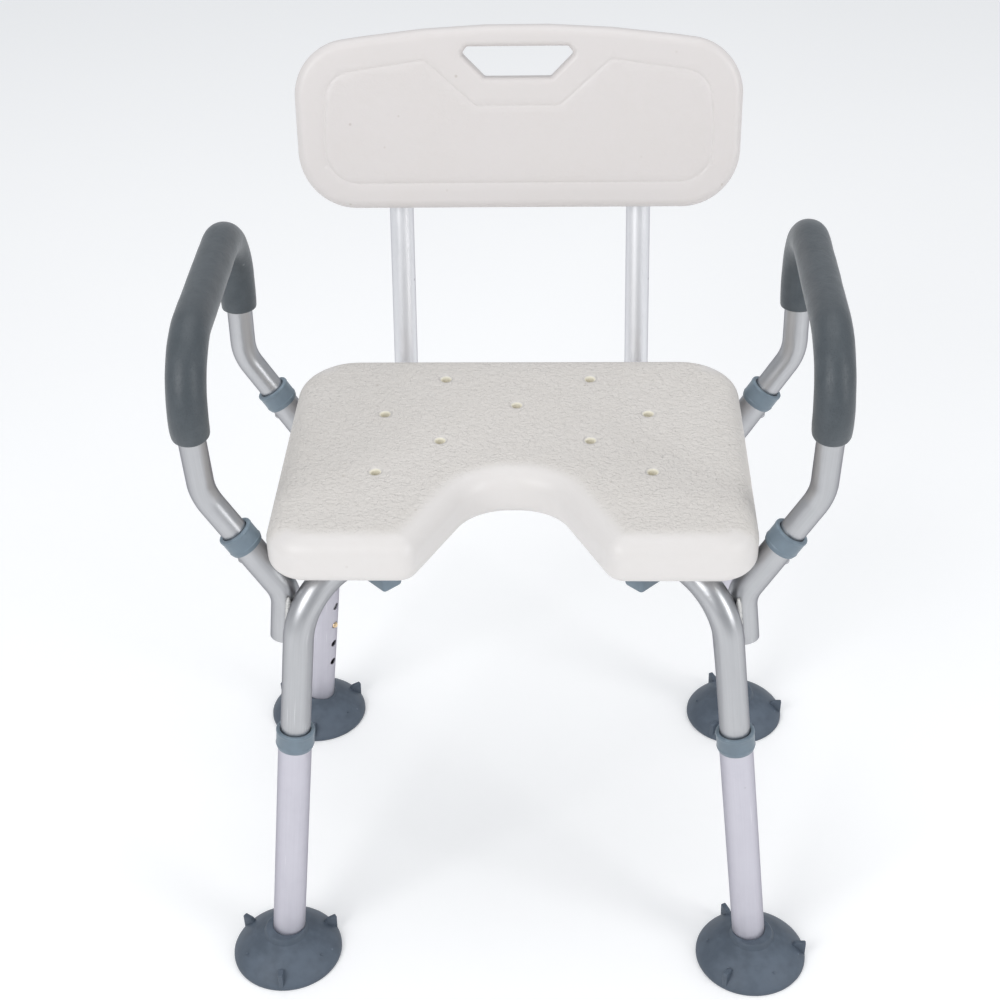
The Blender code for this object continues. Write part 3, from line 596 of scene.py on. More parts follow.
# ---- Panels: the seat and the backrest -----------------------------------------------
def inside(point, outline):
    """Is a flat point inside a closed outline?"""
    odd = False
    x, y = point[0], point[1]
    for one, two in zip(outline, outline[1:] + outline[:1]):
        if (one[1] > y) != (two[1] > y):
            if x < (two[0] - one[0]) * (y - one[1]) / (two[1] - one[1]) + one[0]:
                odd = not odd
    return odd


def away(point, line):
    """Distance from a flat point to a closed line."""
    best = 1e9
    for one, two in zip(line, line[1:] + line[:1]):
        run = two - one
        share = min(1.0, max(0.0, (point - one).dot(run) / max(run.length_squared, 1e-12)))
        best = min(best, (point - one - run * share).length)
    return best


def inset_loop(outline, distance, hole):
    """Each point moved into the material, square to the outline."""
    count = len(outline)
    area = sum(a.x * b.y - b.x * a.y for a, b in zip(outline, outline[1:] + outline[:1]))
    way = math.copysign(1.0, area) * (-1 if hole else 1)
    made = []
    for index, point in enumerate(outline):
        one = (point - outline[index - 1]).normalized()
        two = (outline[(index + 1) % count] - point).normalized()
        left = (Vector((-one.y, one.x)) + Vector((-two.y, two.x))).normalized()
        lean = max(0.5, left.dot(Vector((-one.y, one.x))))
        made.append(point + left * (way * distance / lean))
    return made


def panel(outlines, thickness, edges, spacing, extra, top_lift):
    """A moulded panel: outlines with elliptical edges and a finely divided face on each side.

    Outlines after the first are holes. edges gives (inset, drop) at the top and at the
    bottom for each outline. top_lift(point) raises or sinks the top face.
    """
    half = thickness / 2
    work = bmesh.new()
    caps = {1: [], -1: []}
    for order, (outline, edge) in enumerate(zip(outlines, edges)):
        levels = []
        for way, (inset, drop) in ((-1, edge[1]), (1, edge[0])):
            part = []
            for step in range(EDGE_STEPS + 1):
                turn = math.pi / 2 * step / EDGE_STEPS
                part.append((inset * (1 - math.cos(turn)),
                             way * (half - drop + drop * math.sin(turn))))
            levels.extend(part[::-1] if way < 0 else part)
        loops = []
        for inset, z in levels:
            flat = inset_loop(outline, inset, order > 0)
            loops.append([work.verts.new((p.x, p.y, z)) for p in flat])
        for one, two in zip(loops, loops[1:]):
            for index in range(len(one)):
                after = (index + 1) % len(one)
                work.faces.new((one[index], one[after], two[after], two[index]))
        caps[-1].append(loops[0])
        caps[1].append(loops[-1])
    for way, rims in caps.items():
        flats = [[Vector((v.co.x, v.co.y)) for v in rim] for rim in rims]
        known = [vertex for rim in rims for vertex in rim]
        points = [spot for flat in flats for spot in flat]
        lines = []
        start = 0
        for flat in flats:
            lines += [(start + i, start + (i + 1) % len(flat)) for i in range(len(flat))]
            start += len(flat)
        low = [min(p[i] for p in flats[0]) for i in (0, 1)]
        high = [max(p[i] for p in flats[0]) for i in (0, 1)]
        gap = spacing if way > 0 else spacing * 3
        new = list(extra) if way > 0 else []
        for row in range(int((high[1] - low[1]) / gap) + 1):
            for column in range(int((high[0] - low[0]) / gap) + 1):
                new.append(Vector((low[0] + gap * (column + 0.5 * (row % 2)),
                                   low[1] + gap * row)))
        for spot in new:
            near = min(away(spot, flat) for flat in flats)
            if near > gap * 0.4 and inside(spot, flats[0]) \
                    and not any(inside(spot, flat) for flat in flats[1:]):
                points.append(spot)
                known.append(work.verts.new((spot.x, spot.y, way * half)))
        result = geometry.delaunay_2d_cdt(points, lines, [], 0, 1e-7)
        for face in result[2]:
            centre = sum((result[0][i] for i in face), Vector((0, 0))) / 3
            if not inside(centre, flats[0]) or any(inside(centre, f) for f in flats[1:]):
                continue
            one, two, three = (result[0][i] for i in face)
            if abs((two - one).cross(three - one)) > SLIVER:
                work.faces.new([known[result[3][i][0]] for i in face])
    gaps = [edge for edge in work.edges if edge.is_boundary]
    if gaps:
        bmesh.ops.holes_fill(work, edges=gaps, sides=0)
    bmesh.ops.recalc_face_normals(work, faces=work.faces)
    grain = work.verts.layers.float.new("grain")
    drain_glow_mask = work.verts.layers.float.new("drain_glow_mask")
    for vertex in work.verts:
        lift, cover, cavity = top_lift(vertex.co)
        vertex.co.z += lift
        vertex[grain] = cover
        vertex[drain_glow_mask] = cavity
    return to_mesh(work, "panel")


def smoothstep(low, high, value):
    t = min(1.0, max(0.0, (value - low) / (high - low)))
    return t * t * (3 - 2 * t)


def circle(x, y, radius, count=28):
    return [Vector((x + radius * math.cos(math.tau * i / count),
                    y + radius * math.sin(math.tau * i / count))) for i in range(count)]


def mirrored(half):
    return half + [(-x, y, 0.0) for x, y, _z in reversed(half)]


def flat_outline(corners, radii, step, spacing=0.012):
    """A rounded closed outline with its long straight runs divided."""
    path = [Vector(p[:2]) for p in rounded(corners, radii, step, closed=True)]
    made = []
    for one, two in zip(path, path[1:] + path[:1]):
        pieces = max(1, round((two - one).length / spacing))
        made += [one.lerp(two, i / pieces) for i in range(pieces)]
    return made


def make_seat():
    half = [(CUT_BACK_X, CUT_BACK_Y, 0.0), (CUT_FRONT_X, SEAT_FRONT_Y, 0.0),
            (SEAT_HALF_W, SEAT_FRONT_Y, 0.0), (SEAT_HALF_W, SEAT_REAR_Y, 0.0)]
    radii = [0.045, 0.018, 0.034, 0.052]
    outline = flat_outline(mirrored(half), radii + radii[::-1], math.radians(5))
    drains = [(s * x, y) for x, y in DRAINS for s in (-1, 1)] + [(0.0, MIDDLE_DRAIN_Y)]
    holes = [circle(x, y, DRAIN_R - 0.0002) for x, y in drains]
    rim = ((0.0165, 0.0155), (0.011, 0.011))
    drain_edge = ((0.0042, 0.0024), (0.0008, 0.0008))
    edges = [rim] + [drain_edge] * len(holes)

    def lift(point):
        flat = Vector(point[:2])
        rim_distance = away(flat, outline)
        near = min((flat - Vector(d)).length for d in drains) - DRAIN_R
        on_top = smoothstep(-0.001, 0.008, point[2])
        # the grain runs over the side and rear edges, but stops short of the front and the cut
        outer = min(SEAT_HALF_W - abs(flat.x), SEAT_REAR_Y - flat.y)
        over = 1 - smoothstep(0.002, 0.012, outer - rim_distance)
        over *= smoothstep(0.012, 0.026, flat.y - SEAT_FRONT_Y)
        cover = max(smoothstep(0.0100, 0.0230, rim_distance), over)
        cover *= smoothstep(0.0010, 0.0030, near) * on_top
        cavity = (1 - smoothstep(0.0002, 0.0016, near)) * smoothstep(0.012, 0.0185, point[2])
        dish = -0.0012 * smoothstep(0.018, 0.060, rim_distance) if point[2] > 0.0 else 0.0
        return dish, cover, cavity

    mesh = panel([outline] + holes, SEAT_T, edges, 0.0055, [], lift)
    piece = settle("seat_shell", mesh, SEAT_WHITE,
                   Matrix.Translation((0.0, 0.0, SEAT_TOP_Z - SEAT_T / 2)), 50.0)
    give(piece, "frame", "white_plastic", "seat")


def on_upright(v, x=0.0, forward=0.0):
    """Point at distance v up the uprights' line, moved forward square to it."""
    up = Vector((0.0, math.sin(BACK_TILT), math.cos(BACK_TILT)))
    ahead = Vector((0.0, -math.cos(BACK_TILT), math.sin(BACK_TILT)))
    return Vector((x, BACK_ORIGIN_Y, 0.0)) + up * v + ahead * forward, up, ahead


def make_backrest():
    half = [(PANEL_HALF_W - 0.003, PANEL_BOTTOM_V, 0.0), (PANEL_HALF_W, PANEL_SHOULDER_V, 0.0)]
    corners = half + [(0.0, PANEL_PEAK_V, 0.0)] + [(-x, v, z) for x, v, z in reversed(half)]
    outline = flat_outline(corners, [0.052, 0.050, 1.0, 0.050, 0.052], math.radians(4))
    slot = [(0.0295, 0.684, 0.0), (0.050, 0.7045, 0.0), (0.045, 0.711, 0.0)]
    handle = flat_outline(mirrored(slot), [0.003] * 6, math.radians(15), 0.006)
    line = [(0.0375, 0.660, 0.0), (0.083, 0.700, 0.0), (0.169, 0.6875, 0.0),
            (0.1755, 0.640, 0.0), (0.1715, 0.5915, 0.0)]
    groove = flat_outline(mirrored(line), [0.008, 0.008, 0.026, 0.3, 0.030,
                                           0.030, 0.3, 0.026, 0.008, 0.008],
                          math.radians(6), 0.0030)
    beside = []
    for distance in (-0.0018, -0.0011, -0.0005, 0.0, 0.0005, 0.0011, 0.0018):
        beside += inset_loop(groove, distance, False)

    def lift(point):
        if point[2] < 0.004:
            return 0.0, 0.0, 0.0
        flat = Vector(point[:2])
        gap = away(flat, groove)
        field = 1.0 if inside(flat, groove) else 0.0
        sunk = -0.0007 * (1 - smoothstep(0.0002, 0.0017, gap))
        return sunk, field * smoothstep(0.001, 0.004, gap), 0.0

    edge = (0.0085, 0.0085)
    slot_edge = ((0.0055, 0.0060), (0.004, 0.004))
    mesh = panel([outline, handle], PANEL_T, [(edge, edge), slot_edge], 0.007, beside, lift)
    origin, up, ahead = on_upright(0.0, 0.0, ARM_R + GAP + PANEL_T / 2)
    turn = Matrix(((1, 0, 0), up, ahead)).transposed().to_4x4()
    piece = settle("backrest_shell", mesh, BACK_WHITE, Matrix.Translation(origin) @ turn, 50.0)
    give(piece, "back", "white_plastic", "backrest")


# ---- Legs ----------------------------------------------------------------------------
class Leg:
    """The axis of one leg and the places that are measured along it."""

    def __init__(self, side, end):
        self.side = side
        self.end = end
        self.where = ("front" if end < 0 else "rear") + ("_left" if side > 0 else "_right")
        self.foot = Vector((side * FOOT_X[end], end * FOOT_Y, 0.0))
        self.inward = (Vector((0.0, MEET_Y[end], 0.0)) - self.foot).normalized()
        self.axis = Vector((0.0, 0.0, 1.0)) + self.inward * SPLAY
        self.up = self.axis.normalized()
        self.face = (self.inward - self.up * self.inward.dot(self.up)).normalized()

    def at(self, height):
        return self.foot + self.axis * height

    def frame(self, height):
        return aim(self.at(height), self.up, self.face)


LEGS = {(end, side): Leg(side, end) for _e, end in ENDS for _s, side in SIDES}


def leg_tube(leg):
    length = (LEG_TOP_Z - LEG_BOTTOM_Z) * leg.axis.length
    path = [Vector((0.0, 0.0, length * i / 24)) for i in range(25)]
    mesh = tube(path, LEG_R, LEG_WALL, sides=64)
    first = (LEG_BUTTON_Z - LEG_BOTTOM_Z) * leg.axis.length
    drills = [(aim((LEG_R, 0.0, first + HOLE_PITCH * step), (1, 0, 0)), HOLE_R, -LEG_R, 0.006)
              for step in HOLES]
    mesh = straighten(pierced(mesh, drills), path)
    piece = settle(f"leg_tube_{leg.where}", mesh, MATTE, leg.frame(LEG_BOTTOM_Z))
    give(piece, f"leg_{leg.where}", "matte_aluminium", f"leg_extension_{leg.where}")


def collar_mesh(outer, sleeve, lip, under_lip):
    """Moulded ring with a rolled top lip, a shallow waist and a chamfered skirt."""
    top = COLLAR_HALF
    profile = [(outer - 0.0002, top, 1), (outer, top - 0.0022, 0.6),
               (outer - 0.0004, top - 0.003, 0.5), (outer - 0.0004, 0.0045 - top, 0.6),
               (outer, 0.0038 - top, 0.6),
               (outer - 0.0012, -top, 1), (sleeve, -top, 0.6), (sleeve, under_lip, 0),
               (lip, under_lip, 0), (lip, top, 1)]
    return lathe(softened(profile, 0.0009), 64)


def leg_collar(leg):
    lip = FRAME_R + GAP
    under_lip = COLLAR_HALF - 0.004
    mesh = collar_mesh(LEG_R + 0.0022, LEG_R + GAP, lip, under_lip)
    middle = LEG_TOP_Z - (under_lip - GAP) / leg.axis.length
    piece = settle(f"leg_ring_{leg.where}", mesh, SLATE, leg.frame(middle))
    give(piece, f"leg_{leg.where}", "slate_plastic", f"leg_collar_{leg.where}")


def wedge(turn, outline, width):
    """Rim tab: a flat outline in the radial plane, thickened and with rounded edges."""
    work = bmesh.new()
    sides = [[work.verts.new((x, y, z)) for x, z in outline] for y in (-width, width)]
    near = work.faces.new(sides[0])
    far = work.faces.new(sides[1])
    bmesh.ops.bridge_loops(work, edges=list(near.edges) + list(far.edges))
    bmesh.ops.recalc_face_normals(work, faces=work.faces)
    bmesh.ops.bevel(work, geom=list(work.edges), offset=0.0007, segments=3, profile=0.5,
                    affect="EDGES")
    bmesh.ops.rotate(work, verts=work.verts, cent=(0, 0, 0), matrix=Matrix.Rotation(turn, 3, "Z"))
    return to_mesh(work, "wedge")


def dome_dot(x, y, z, radius):
    work = bmesh.new()
    flattened = Matrix.Translation((x, y, z)) @ Matrix.Diagonal((1, 1, 0.6, 1))
    bmesh.ops.create_icosphere(work, subdivisions=3, radius=radius, matrix=flattened)
    return to_mesh(work, "dot")


def suction_foot(leg):
    """Rubber cup: neck ring, rounded shoulder, broad dome, thin rim, three tabs."""
    neck = LEG_R + 0.0045
    spots = [(0.0, NECK_Z), (neck - 0.0026, NECK_Z), (neck - 0.0014, NECK_Z - 0.0003),
             (neck - 0.0006, NECK_Z - 0.0012), (neck - 0.0001, NECK_Z - 0.0028),
             (neck + 0.0010, NECK_Z - 0.0055), (0.0232, 0.0238), (0.0270, 0.0222), (0.0305, 0.0205),
             (0.0345, 0.0178), (0.0385, 0.0147), (0.0425, 0.0112), (0.0458, 0.0078),
             (0.0480, 0.0050), (0.0488, 0.0034), (CUP_R, 0.0022), (CUP_R, 0.0010),
             (0.0485, 0.0002), (0.0475, 0.0), (0.0430, 0.0), (0.0405, 0.0008), (0.030, 0.0032),
             (0.0, 0.0060)]
    work = [pierced(lathe(spots, 96), [(aim(leg.axis * (LEG_BOTTOM_Z - GAP), leg.up, leg.face),
                                       LEG_R + GAP, 0.0, 0.06)], 64)]
    outline = [(0.0345, 0.013), (0.0484, 0.0035), (0.0488, 0.0182), (0.0480, 0.0190),
               (0.0402, 0.0185)]
    first_tab = -90 + (LEFT_FOOT_TURN if leg.side > 0 else 0.0)
    for index in range(3):
        work.append(wedge(math.radians(first_tab + 120 * index), outline, 0.0022))
    for spread in (-60.0, 60.0):
        turn = math.radians(first_tab + spread)
        work.append(dome_dot(0.0388 * math.cos(turn), 0.0388 * math.sin(turn), 0.0150, 0.0012))
    piece = settle(f"cup_foot_{leg.where}", joined(work), RUBBER, Matrix.Translation(leg.foot))
    give(piece, f"leg_{leg.where}", "slate_rubber", f"suction_foot_{leg.where}")


def button_mesh():
    nose = []
    for step in range(9):
        turn = math.pi / 2 * step / 8
        nose.append((BUTTON_R * math.sin(turn), BUTTON_PROUD - BUTTON_R * (1 - math.cos(turn))))
    inner = BUTTON_PROUD - BUTTON_LENGTH
    return lathe(nose + [(BUTTON_R, inner), (0.0, inner)], 32)


def make_legs():
    for leg in LEGS.values():
        leg_tube(leg)
        leg_collar(leg)
        suction_foot(leg)
        spot = leg.at(LEG_BUTTON_Z) + leg.face * LEG_R
        piece = settle(f"leg_pin_head_{leg.where}", button_mesh(), BRASS, aim(spot, leg.face))
        give(piece, f"leg_pin_{leg.where}", "brass", f"leg_button_{leg.where}")


# ---- Frame ---------------------------------------------------------------------------
def divided(path, spacing=0.012):
    """The same path with its long straight runs divided."""
    made = [path[0]]
    for one, two in zip(path, path[1:]):
        pieces = max(1, round((two - one).length / spacing))
        made += [one.lerp(two, i / pieces) for i in range(1, pieces + 1)]
    return made


def frame_tube(name, legs, node):
    first, second = legs
    corners = [first.at(FRAME_END_Z), first.at(TUBE_Z), (0.0, MEET_Y[first.end], TUBE_Z),
               second.at(TUBE_Z), second.at(FRAME_END_Z)]
    radii = [0.0, LEG_BEND_R, MIDDLE_BEND_R, LEG_BEND_R, 0.0]
    path = divided(rounded(corners, radii, ARC))
    piece = settle(name, tube(path, FRAME_R, FRAME_WALL), SATIN)
    give(piece, "frame", "satin_aluminium", node)


def bend_peak(leg):
    """Y of the centre line at the rounded middle of a frame tube."""
    return MEET_Y[leg.end] + leg.end * MIDDLE_BEND_R * (1 / abs(leg.inward.x) - 1)


def cross_bolt(front_face, rear_face):
    head = [(0.0, 0.0045), (0.0016, 0.0044), (0.0032, 0.0039), (0.0046, 0.0030), (0.0057, 0.0019),
            (0.0063, 0.0010), (0.0065, 0.0004), (0.0065, 0.0), (BOLT_R, 0.0),
            (BOLT_R, front_face - rear_face - 0.009), (0.0, front_face - rear_face - 0.009)]
    spot = aim((0.0, front_face - BOLT_SEAT, TUBE_Z), (0, -1, 0))
    mesh = pierced(lathe(head, 48), [(Matrix.Identity(4), 0.0021, 0.0022, 0.01)], 6)
    give(settle("bolt_round_head", mesh, STEEL, spot), "frame", "bright_steel", "cross_bolt")
    bore = BOLT_R + GAP
    profile = [(0.0062, 0.0045, 0), (0.0062, 0.0, 1), (bore, 0.0, 1), (bore, 0.0055, 1),
               (0.0048, 0.0055, 1)]
    hexagon = lathe(softened(profile, 0.0004), 6)
    piece = settle("bolt_lock_nut", hexagon, STEEL,
                   aim((0.0, rear_face + BOLT_SEAT, TUBE_Z), (0, 1, 0)), 20.0)
    give(piece, "frame", "bright_steel", "cross_nut")


def screw_mesh(length):
    """Pan-head screw with a cross recess and a threaded shank."""
    radius, head_r, pitch = 0.0021, 0.0042, 0.0008
    head = [(0.0, -0.0026), (0.0012, -0.00255), (0.0024, -0.0022), (0.0034, -0.0015),
            (0.0040, -0.0007), (head_r, -0.0002), (head_r, 0.0), (radius, 0.0)]
    for step in range(int((length - 0.004) / pitch)):
        z = 0.001 + step * pitch
        head += [(radius - 0.0005, z), (radius, z + pitch / 2)]
    head += [(radius * 0.6, length - 0.0018), (0.0, length)]
    mesh = lathe(head, 24)
    for size in ((0.0044, 0.0010, 0.0030), (0.0010, 0.0044, 0.0030)):
        mesh = carved(mesh, block_mesh(size, (0.0, 0.0, -0.0026)))
    return mesh


def saddles():
    """(leg, middle, direction across the tube) for each saddle clip."""
    for leg in LEGS.values():
        corner = leg.at(TUBE_Z)
        run = (corner.x - leg.side * SADDLE_X[leg.end]) / -leg.inward.x
        middle = corner + leg.inward * run
        yield leg, middle, Vector((-leg.inward.y, leg.inward.x, 0.0))


def make_saddles():
    top = SEAT_TOP_Z - SEAT_T - GAP
    height = top - SADDLE_BOTTOM_Z
    centre_z = SADDLE_BOTTOM_Z + height / 2
    screw = screw_mesh(SEAT_TOP_Z - SEAT_T - POCKET_TOP_Z + 0.012)
    block = block_mesh((SADDLE_LENGTH, SADDLE_WIDTH, height), bevel=0.0035)
    tube_low = TUBE_Z - centre_z
    channel = (aim((0.0, 0.0, tube_low), (0, 1, 0)), FRAME_R + GAP, -0.02, 0.02)
    block = pierced(block, [channel], 48)
    block = carved(block, block_mesh((2 * (FRAME_R + GAP), 0.05, 0.03), (0, 0, tube_low + 0.015)))
    for way in (-1, 1):
        at = Matrix.Translation((way * SADDLE_SCREW, 0.0, -centre_z))
        block = pierced(block, [(at, 0.0055, SADDLE_BOTTOM_Z - 0.01, POCKET_TOP_Z)], 32)
        block = pierced(block, [(at, 0.0024, POCKET_TOP_Z - 0.001, top + 0.01)], 20)
    for leg, middle, across in saddles():
        spot = aim((middle.x, middle.y, centre_z), (0, 0, 1), across)
        piece = settle(f"clip_{leg.where}", block.copy(), SLATE, spot)
        give(piece, "frame", "slate_plastic", f"saddle_clip_{leg.where}")
        for way, label in ((-1, "a"), (1, "b")):
            point = middle + across * (way * SADDLE_SCREW)
            place = aim((point.x, point.y, POCKET_TOP_Z - GAP), (0, 0, 1), across)
            piece = settle(f"clip_screw_{leg.where}_{label}", screw.copy(), STEEL, place)
            give(piece, "frame", "bright_steel", f"saddle_screw_{leg.where}_{label}")


def bead(name, path, seed):
    """A lumpy weld bead along a path."""
    spots = frames_along(divided(path, 0.0012))
    rings = []
    count = len(spots)
    for index, (point, x, y, distance) in enumerate(spots):
        share = index / (count - 1)
        taper = min(1.0, 0.35 + 4 * min(share, 1 - share))
        lump = 1.0 + 0.22 * noise.noise(Vector((distance * 300.0, seed, 0.0)))
        rings.append((point, x, y, WELD_R * taper * lump, distance))
    first, last = rings[0], rings[-1]
    rings = [(first[0], first[1], first[2], 0.0, 0.0)] + rings
    rings.append((last[0], last[1], last[2], 0.0, last[4]))
    piece = settle(name, skin(rings, False, 16), WELD, sharp=80.0)
    give(piece, "frame", "satin_aluminium")


def make_frame():
    front = [LEGS[-1, -1], LEGS[-1, 1]]
    rear = [LEGS[1, -1], LEGS[1, 1]]
    frame_tube("front_bent_tube", front, "frame_tube_front")
    frame_tube("rear_bent_tube", rear, "frame_tube_rear")
    cross_bolt(bend_peak(front[0]) - FRAME_R, bend_peak(rear[0]) + FRAME_R)
    make_saddles()


# ---- Armrests and their sockets ------------------------------------------------------
def socket_points(leg):
    """Lower end, bend and collar of the socket beside a leg, and its slant."""
    slant = Vector((leg.side * math.sin(ARM_TILT), 0.0, math.cos(ARM_TILT)))
    beside = Vector((leg.side * 0.50, 0.866, 0.0)) if leg.end < 0 else Vector(
        (leg.side * 0.55, -0.835, 0.0))
    low = leg.at(SOCKET_END_Z) + beside.normalized() * SOCKET_OFF
    lean = abs(slant.x / slant.z)
    gather = abs(leg.axis.x)
    rise = ARM_COLLAR_Z - low.z
    drop = (abs(low.x) - ARM_COLLAR_X + lean * rise) / (lean + gather)
    bend = low + leg.axis * drop
    collar = bend + slant * ((ARM_COLLAR_Z - bend.z) / slant.z)
    return low, bend, collar, slant


def arm_button_spot(leg):
    _low, _bend, collar, slant = socket_points(leg)
    outward = Vector((slant.z * leg.side, 0.0, -slant.x * leg.side))
    return collar - slant * ARM_BUTTON_DROP + outward * SOCKET_R, outward


def make_socket(leg):
    low, bend, collar, slant = socket_points(leg)
    path = divided(rounded([low, bend, collar + slant * 0.005], [0.0, SOCKET_BEND_R, 0.0], ARC))
    spot, outward = arm_button_spot(leg)
    mesh = pierced(tube(path, SOCKET_R, SOCKET_WALL, sides=56),
                   [(aim(spot, outward), HOLE_R, -0.006, 0.006)])
    piece = settle(f"socket_{leg.where}", straighten(mesh, path), SATIN)
    give(piece, "frame", "satin_aluminium", f"arm_socket_{leg.where}")
    lip = ARM_R + GAP
    mesh = collar_mesh(SOCKET_R + 0.0024, SOCKET_R + GAP, lip, 0.005 + GAP)
    piece = settle(f"socket_ring_{leg.where}", mesh, SLATE, aim(collar, slant, (0, 1, 0)))
    give(piece, "frame", "slate_plastic", f"arm_collar_{leg.where}")
    piece = settle(f"arm_pin_head_{leg.where}", button_mesh(), NICKEL, aim(spot, outward))
    give(piece, f"arm_pin_{leg.where}", "bright_steel", f"arm_button_{leg.where}")
    # the weld runs down both sides of the line where the socket and the leg touch
    for label, way in (("a", 1), ("b", -1)):
        points = []
        for height in WELD_HEIGHTS:
            own = low + leg.axis * (height - low.z)
            other = leg.at(height)
            between = (other - own).normalized()
            side = between.cross(leg.up).normalized() * way
            points.append(own.lerp(other, 0.5) + side * 0.0040)
        bead(f"weld_{leg.where}_{label}", points, leg.side * 3.0 + leg.end + way * 9.0)


def armrest_path(side, from_grip=False):
    ends = []
    knees = []
    for end in (-1, 1):
        _low, _bend, collar, slant = socket_points(LEGS[end, side])
        ends.append(collar - slant * ARM_END_DROP)
        knees.append(collar + slant * ((ARM_X - ARM_COLLAR_X) / abs(slant.x)))
    top_front = Vector((side * ARM_X, ARM_FRONT_Y, ARM_TOP_Z))
    top_rear = Vector((side * ARM_X, ARM_REAR_Y, ARM_TOP_Z))
    corners = [ends[0], knees[0], top_front, top_rear, knees[1], ends[1]]
    if from_grip:
        for end, index, knee, top in ((-1, 1, knees[0], top_front), (1, 4, knees[1], top_rear)):
            share = (GRIP_END_Z[end] - knee.z) / (top.z - knee.z)
            corners[index] = knee.lerp(top, share)
        corners = corners[1:5]
    return corners


def make_armrest(name, side):
    radii = [0.0, 0.045, ARM_CORNER_R, ARM_CORNER_R, 0.045, 0.0]
    path = divided(rounded(armrest_path(side), radii, ARC))
    piece = settle(f"arm_{name}", tube(path, ARM_R, ARM_WALL), SATIN)
    give(piece, f"armrest_{name}", "satin_aluminium", f"armrest_tube_{name}")
    radii = [0.0, ARM_CORNER_R, ARM_CORNER_R, 0.0]
    path = divided(rounded(armrest_path(side, from_grip=True), radii, ARC), 0.004)
    mesh = tube(path, GRIP_R, GRIP_R - ARM_R - 0.0006, nose=0.0022, sides=72)
    # the foam is pulled in a little, more so near its two ends, and is a little uneven all along
    layer = mesh.attributes["straight"].data
    spots = frames_along(path)
    length = spots[-1][3]
    for vertex in mesh.vertices:
        x, y, along = layer[vertex.index].vector
        reach = math.hypot(x, y)
        if reach < GRIP_R * 0.85:
            continue
        place, _x, _y, _d = min(spots, key=lambda spot: abs(spot[3] - along))
        out = (vertex.co - place).normalized()
        swell = noise.noise(Vector((along * 26.0, side * 5.0, 0.0))) * 0.00025
        swell += noise.noise(Vector((x * 90.0, y * 90.0, along * 60.0))) * 0.00020
        pinch = 0.0005 * math.exp(-(min(along, length - along) / 0.006) ** 2)
        vertex.co += out * (swell - 0.00030 - pinch)
    piece = settle(f"grip_{name}", mesh, FOAM, sharp=70.0)
    give(piece, f"armrest_{name}", "dark_foam", f"armrest_grip_{name}")


# ---- Backrest uprights and their receivers -------------------------------------------
def make_upright(name, side):
    x = side * UPRIGHT_X
    corner = on_upright(RECEIVER_Z / math.cos(BACK_TILT), x)[0]
    top, up, ahead = on_upright(UPRIGHT_TOP_V, x)
    path = divided(rounded([(x, UPRIGHT_END_Y, RECEIVER_Z), corner, top], [0.0, 0.045, 0.0], ARC))
    mesh = tube(path, ARM_R, ARM_WALL)
    piece = settle(f"upright_{name}", mesh, BRIGHT)
    give(piece, "back", "satin_aluminium", f"back_upright_{name}")
    plug = lathe([(0.0, 0.0014), (0.0045, 0.0012), (0.0082, 0.0005), (0.0096, -0.0004),
                  (0.0096, -0.008), (0.0, -0.008)], 40)
    piece = settle(f"upright_plug_{name}", plug, SLATE, aim(top - up * 0.0003, up))
    give(piece, "back", "slate_plastic")
    path = divided([Vector((x, y, RECEIVER_Z)) for y in (RECEIVER_FRONT_Y, RECEIVER_REAR_Y)])
    spot = (x, BACK_BUTTON_Y, RECEIVER_Z - FRAME_R)
    mesh = pierced(tube(path, FRAME_R, SOCKET_WALL, sides=56),
                   [(aim(spot, (0, 0, -1)), HOLE_R, -0.006, 0.006)])
    piece = settle(f"receiver_{name}", straighten(mesh, path), SATIN)
    give(piece, "frame", "satin_aluminium", f"back_receiver_{name}")
    piece = settle(f"back_pin_head_{name}", button_mesh(), STEEL, aim(spot, (0, 0, -1)))
    give(piece, f"back_pin_{name}", "bright_steel", f"back_button_{name}")
    screw = screw_mesh(0.034)
    for label, v in zip(("lower", "upper"), PANEL_SCREWS_V):
        point = on_upright(v, x, -ARM_R - GAP)[0]
        piece = settle(f"panel_screw_{name}_{label}", screw.copy(), STEEL, aim(point, ahead, up))
        give(piece, "back", "bright_steel", f"back_screw_{name}_{label}")


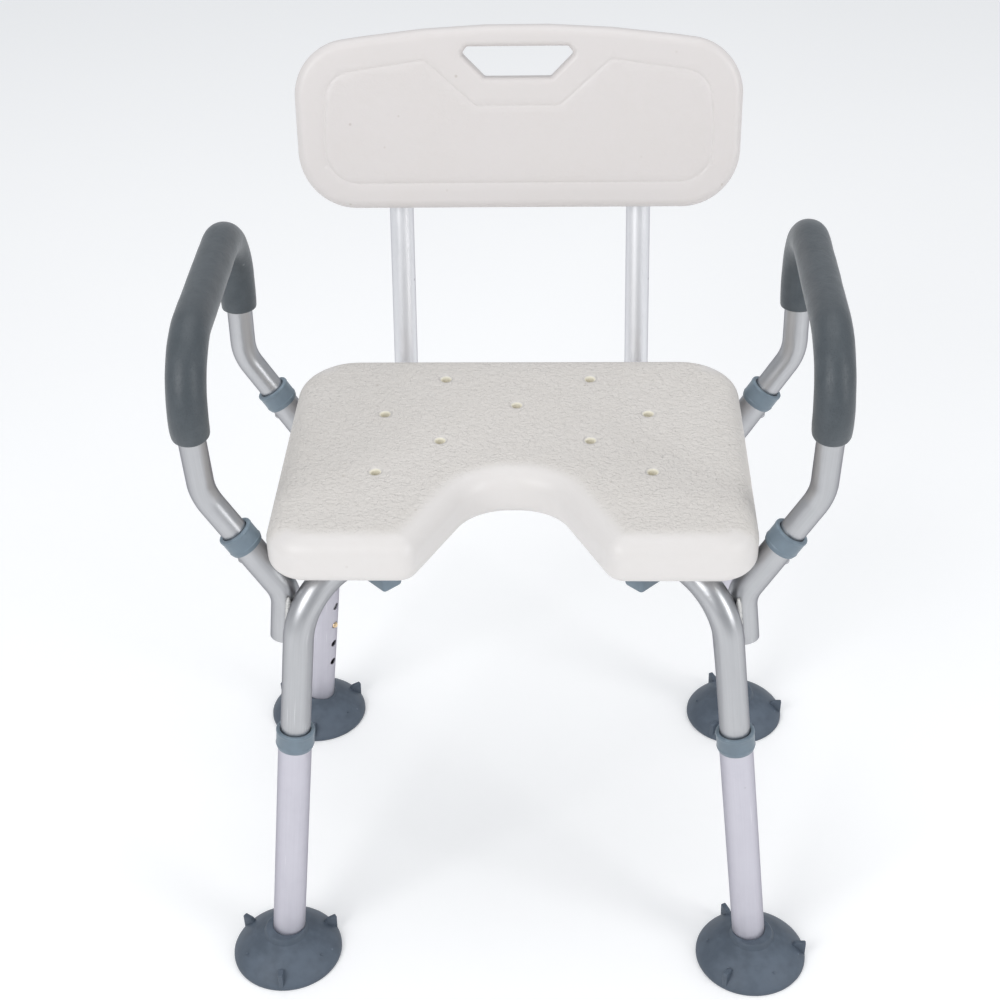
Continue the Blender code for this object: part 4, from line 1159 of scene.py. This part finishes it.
# ---- Room: floor, lights, camera -----------------------------------------------------
def make_stage():
    work = bmesh.new()
    bmesh.ops.create_grid(work, x_segments=2, y_segments=2, size=FLOOR_HALF)
    floor = placed("floor", to_mesh(work, "floor"))
    floor.data.materials.append(floor_paint("floor_paint"))
    world = bpy.data.worlds.new("studio")
    bpy.context.scene.world = world
    world.use_nodes = True
    back = world.node_tree.nodes["Background"]
    back.inputs["Color"].default_value = (0.93, 0.96, 1.0, 1.0)
    back.inputs["Strength"].default_value = 0.58
    bpy.context.scene.view_settings.view_transform = "Standard"


def soft_light(name, place, width, height, watts):
    lamp = bpy.data.lights.new(name, "AREA")
    lamp.shape = "RECTANGLE"
    lamp.size = width
    lamp.size_y = height
    lamp.energy = watts
    thing = placed(name, lamp)
    gaze = Vector((0.0, 0.0, 0.3)) - Vector(place)
    thing.rotation_euler = gaze.to_track_quat("-Z", "Y").to_euler()
    thing.location = place


def make_camera():
    lens = bpy.data.cameras.new("camera")
    lens.lens = 64.8
    lens.sensor_width = 36.0
    lens.clip_start = 0.05
    pitch, yaw, roll = 0.6026, 0.0465, -0.0256
    forward = Vector((-math.sin(yaw) * math.cos(pitch), math.cos(yaw) * math.cos(pitch),
                      -math.sin(pitch)))
    level = Vector((math.cos(yaw), math.sin(yaw), 0.0))
    rise = level.cross(forward)
    right = level * math.cos(roll) + rise * math.sin(roll)
    up = rise * math.cos(roll) - level * math.sin(roll)
    turn = Matrix((right, up, -forward)).transposed().to_4x4()
    camera = placed("camera", lens)
    place = Vector((0.04585, -1.27789, 1.26497)) + SHIFT
    camera.matrix_world = Matrix.Translation(place) @ turn
    bpy.context.scene.camera = camera


make_seat()
make_backrest()
make_legs()
make_frame()
for leg in LEGS.values():
    make_socket(leg)
for name, side in SIDES:
    make_armrest(name, side)
    make_upright(name, side)
make_stage()
soft_light("key", (-1.6, -2.1, 2.0), 1.5, 1.6, 32.5)
soft_light("fill", (2.1, -1.4, 1.5), 0.9, 1.8, 18.0)
soft_light("top", (0.0, 0.4, 3.0), 2.4, 2.4, 20.0)
make_camera()
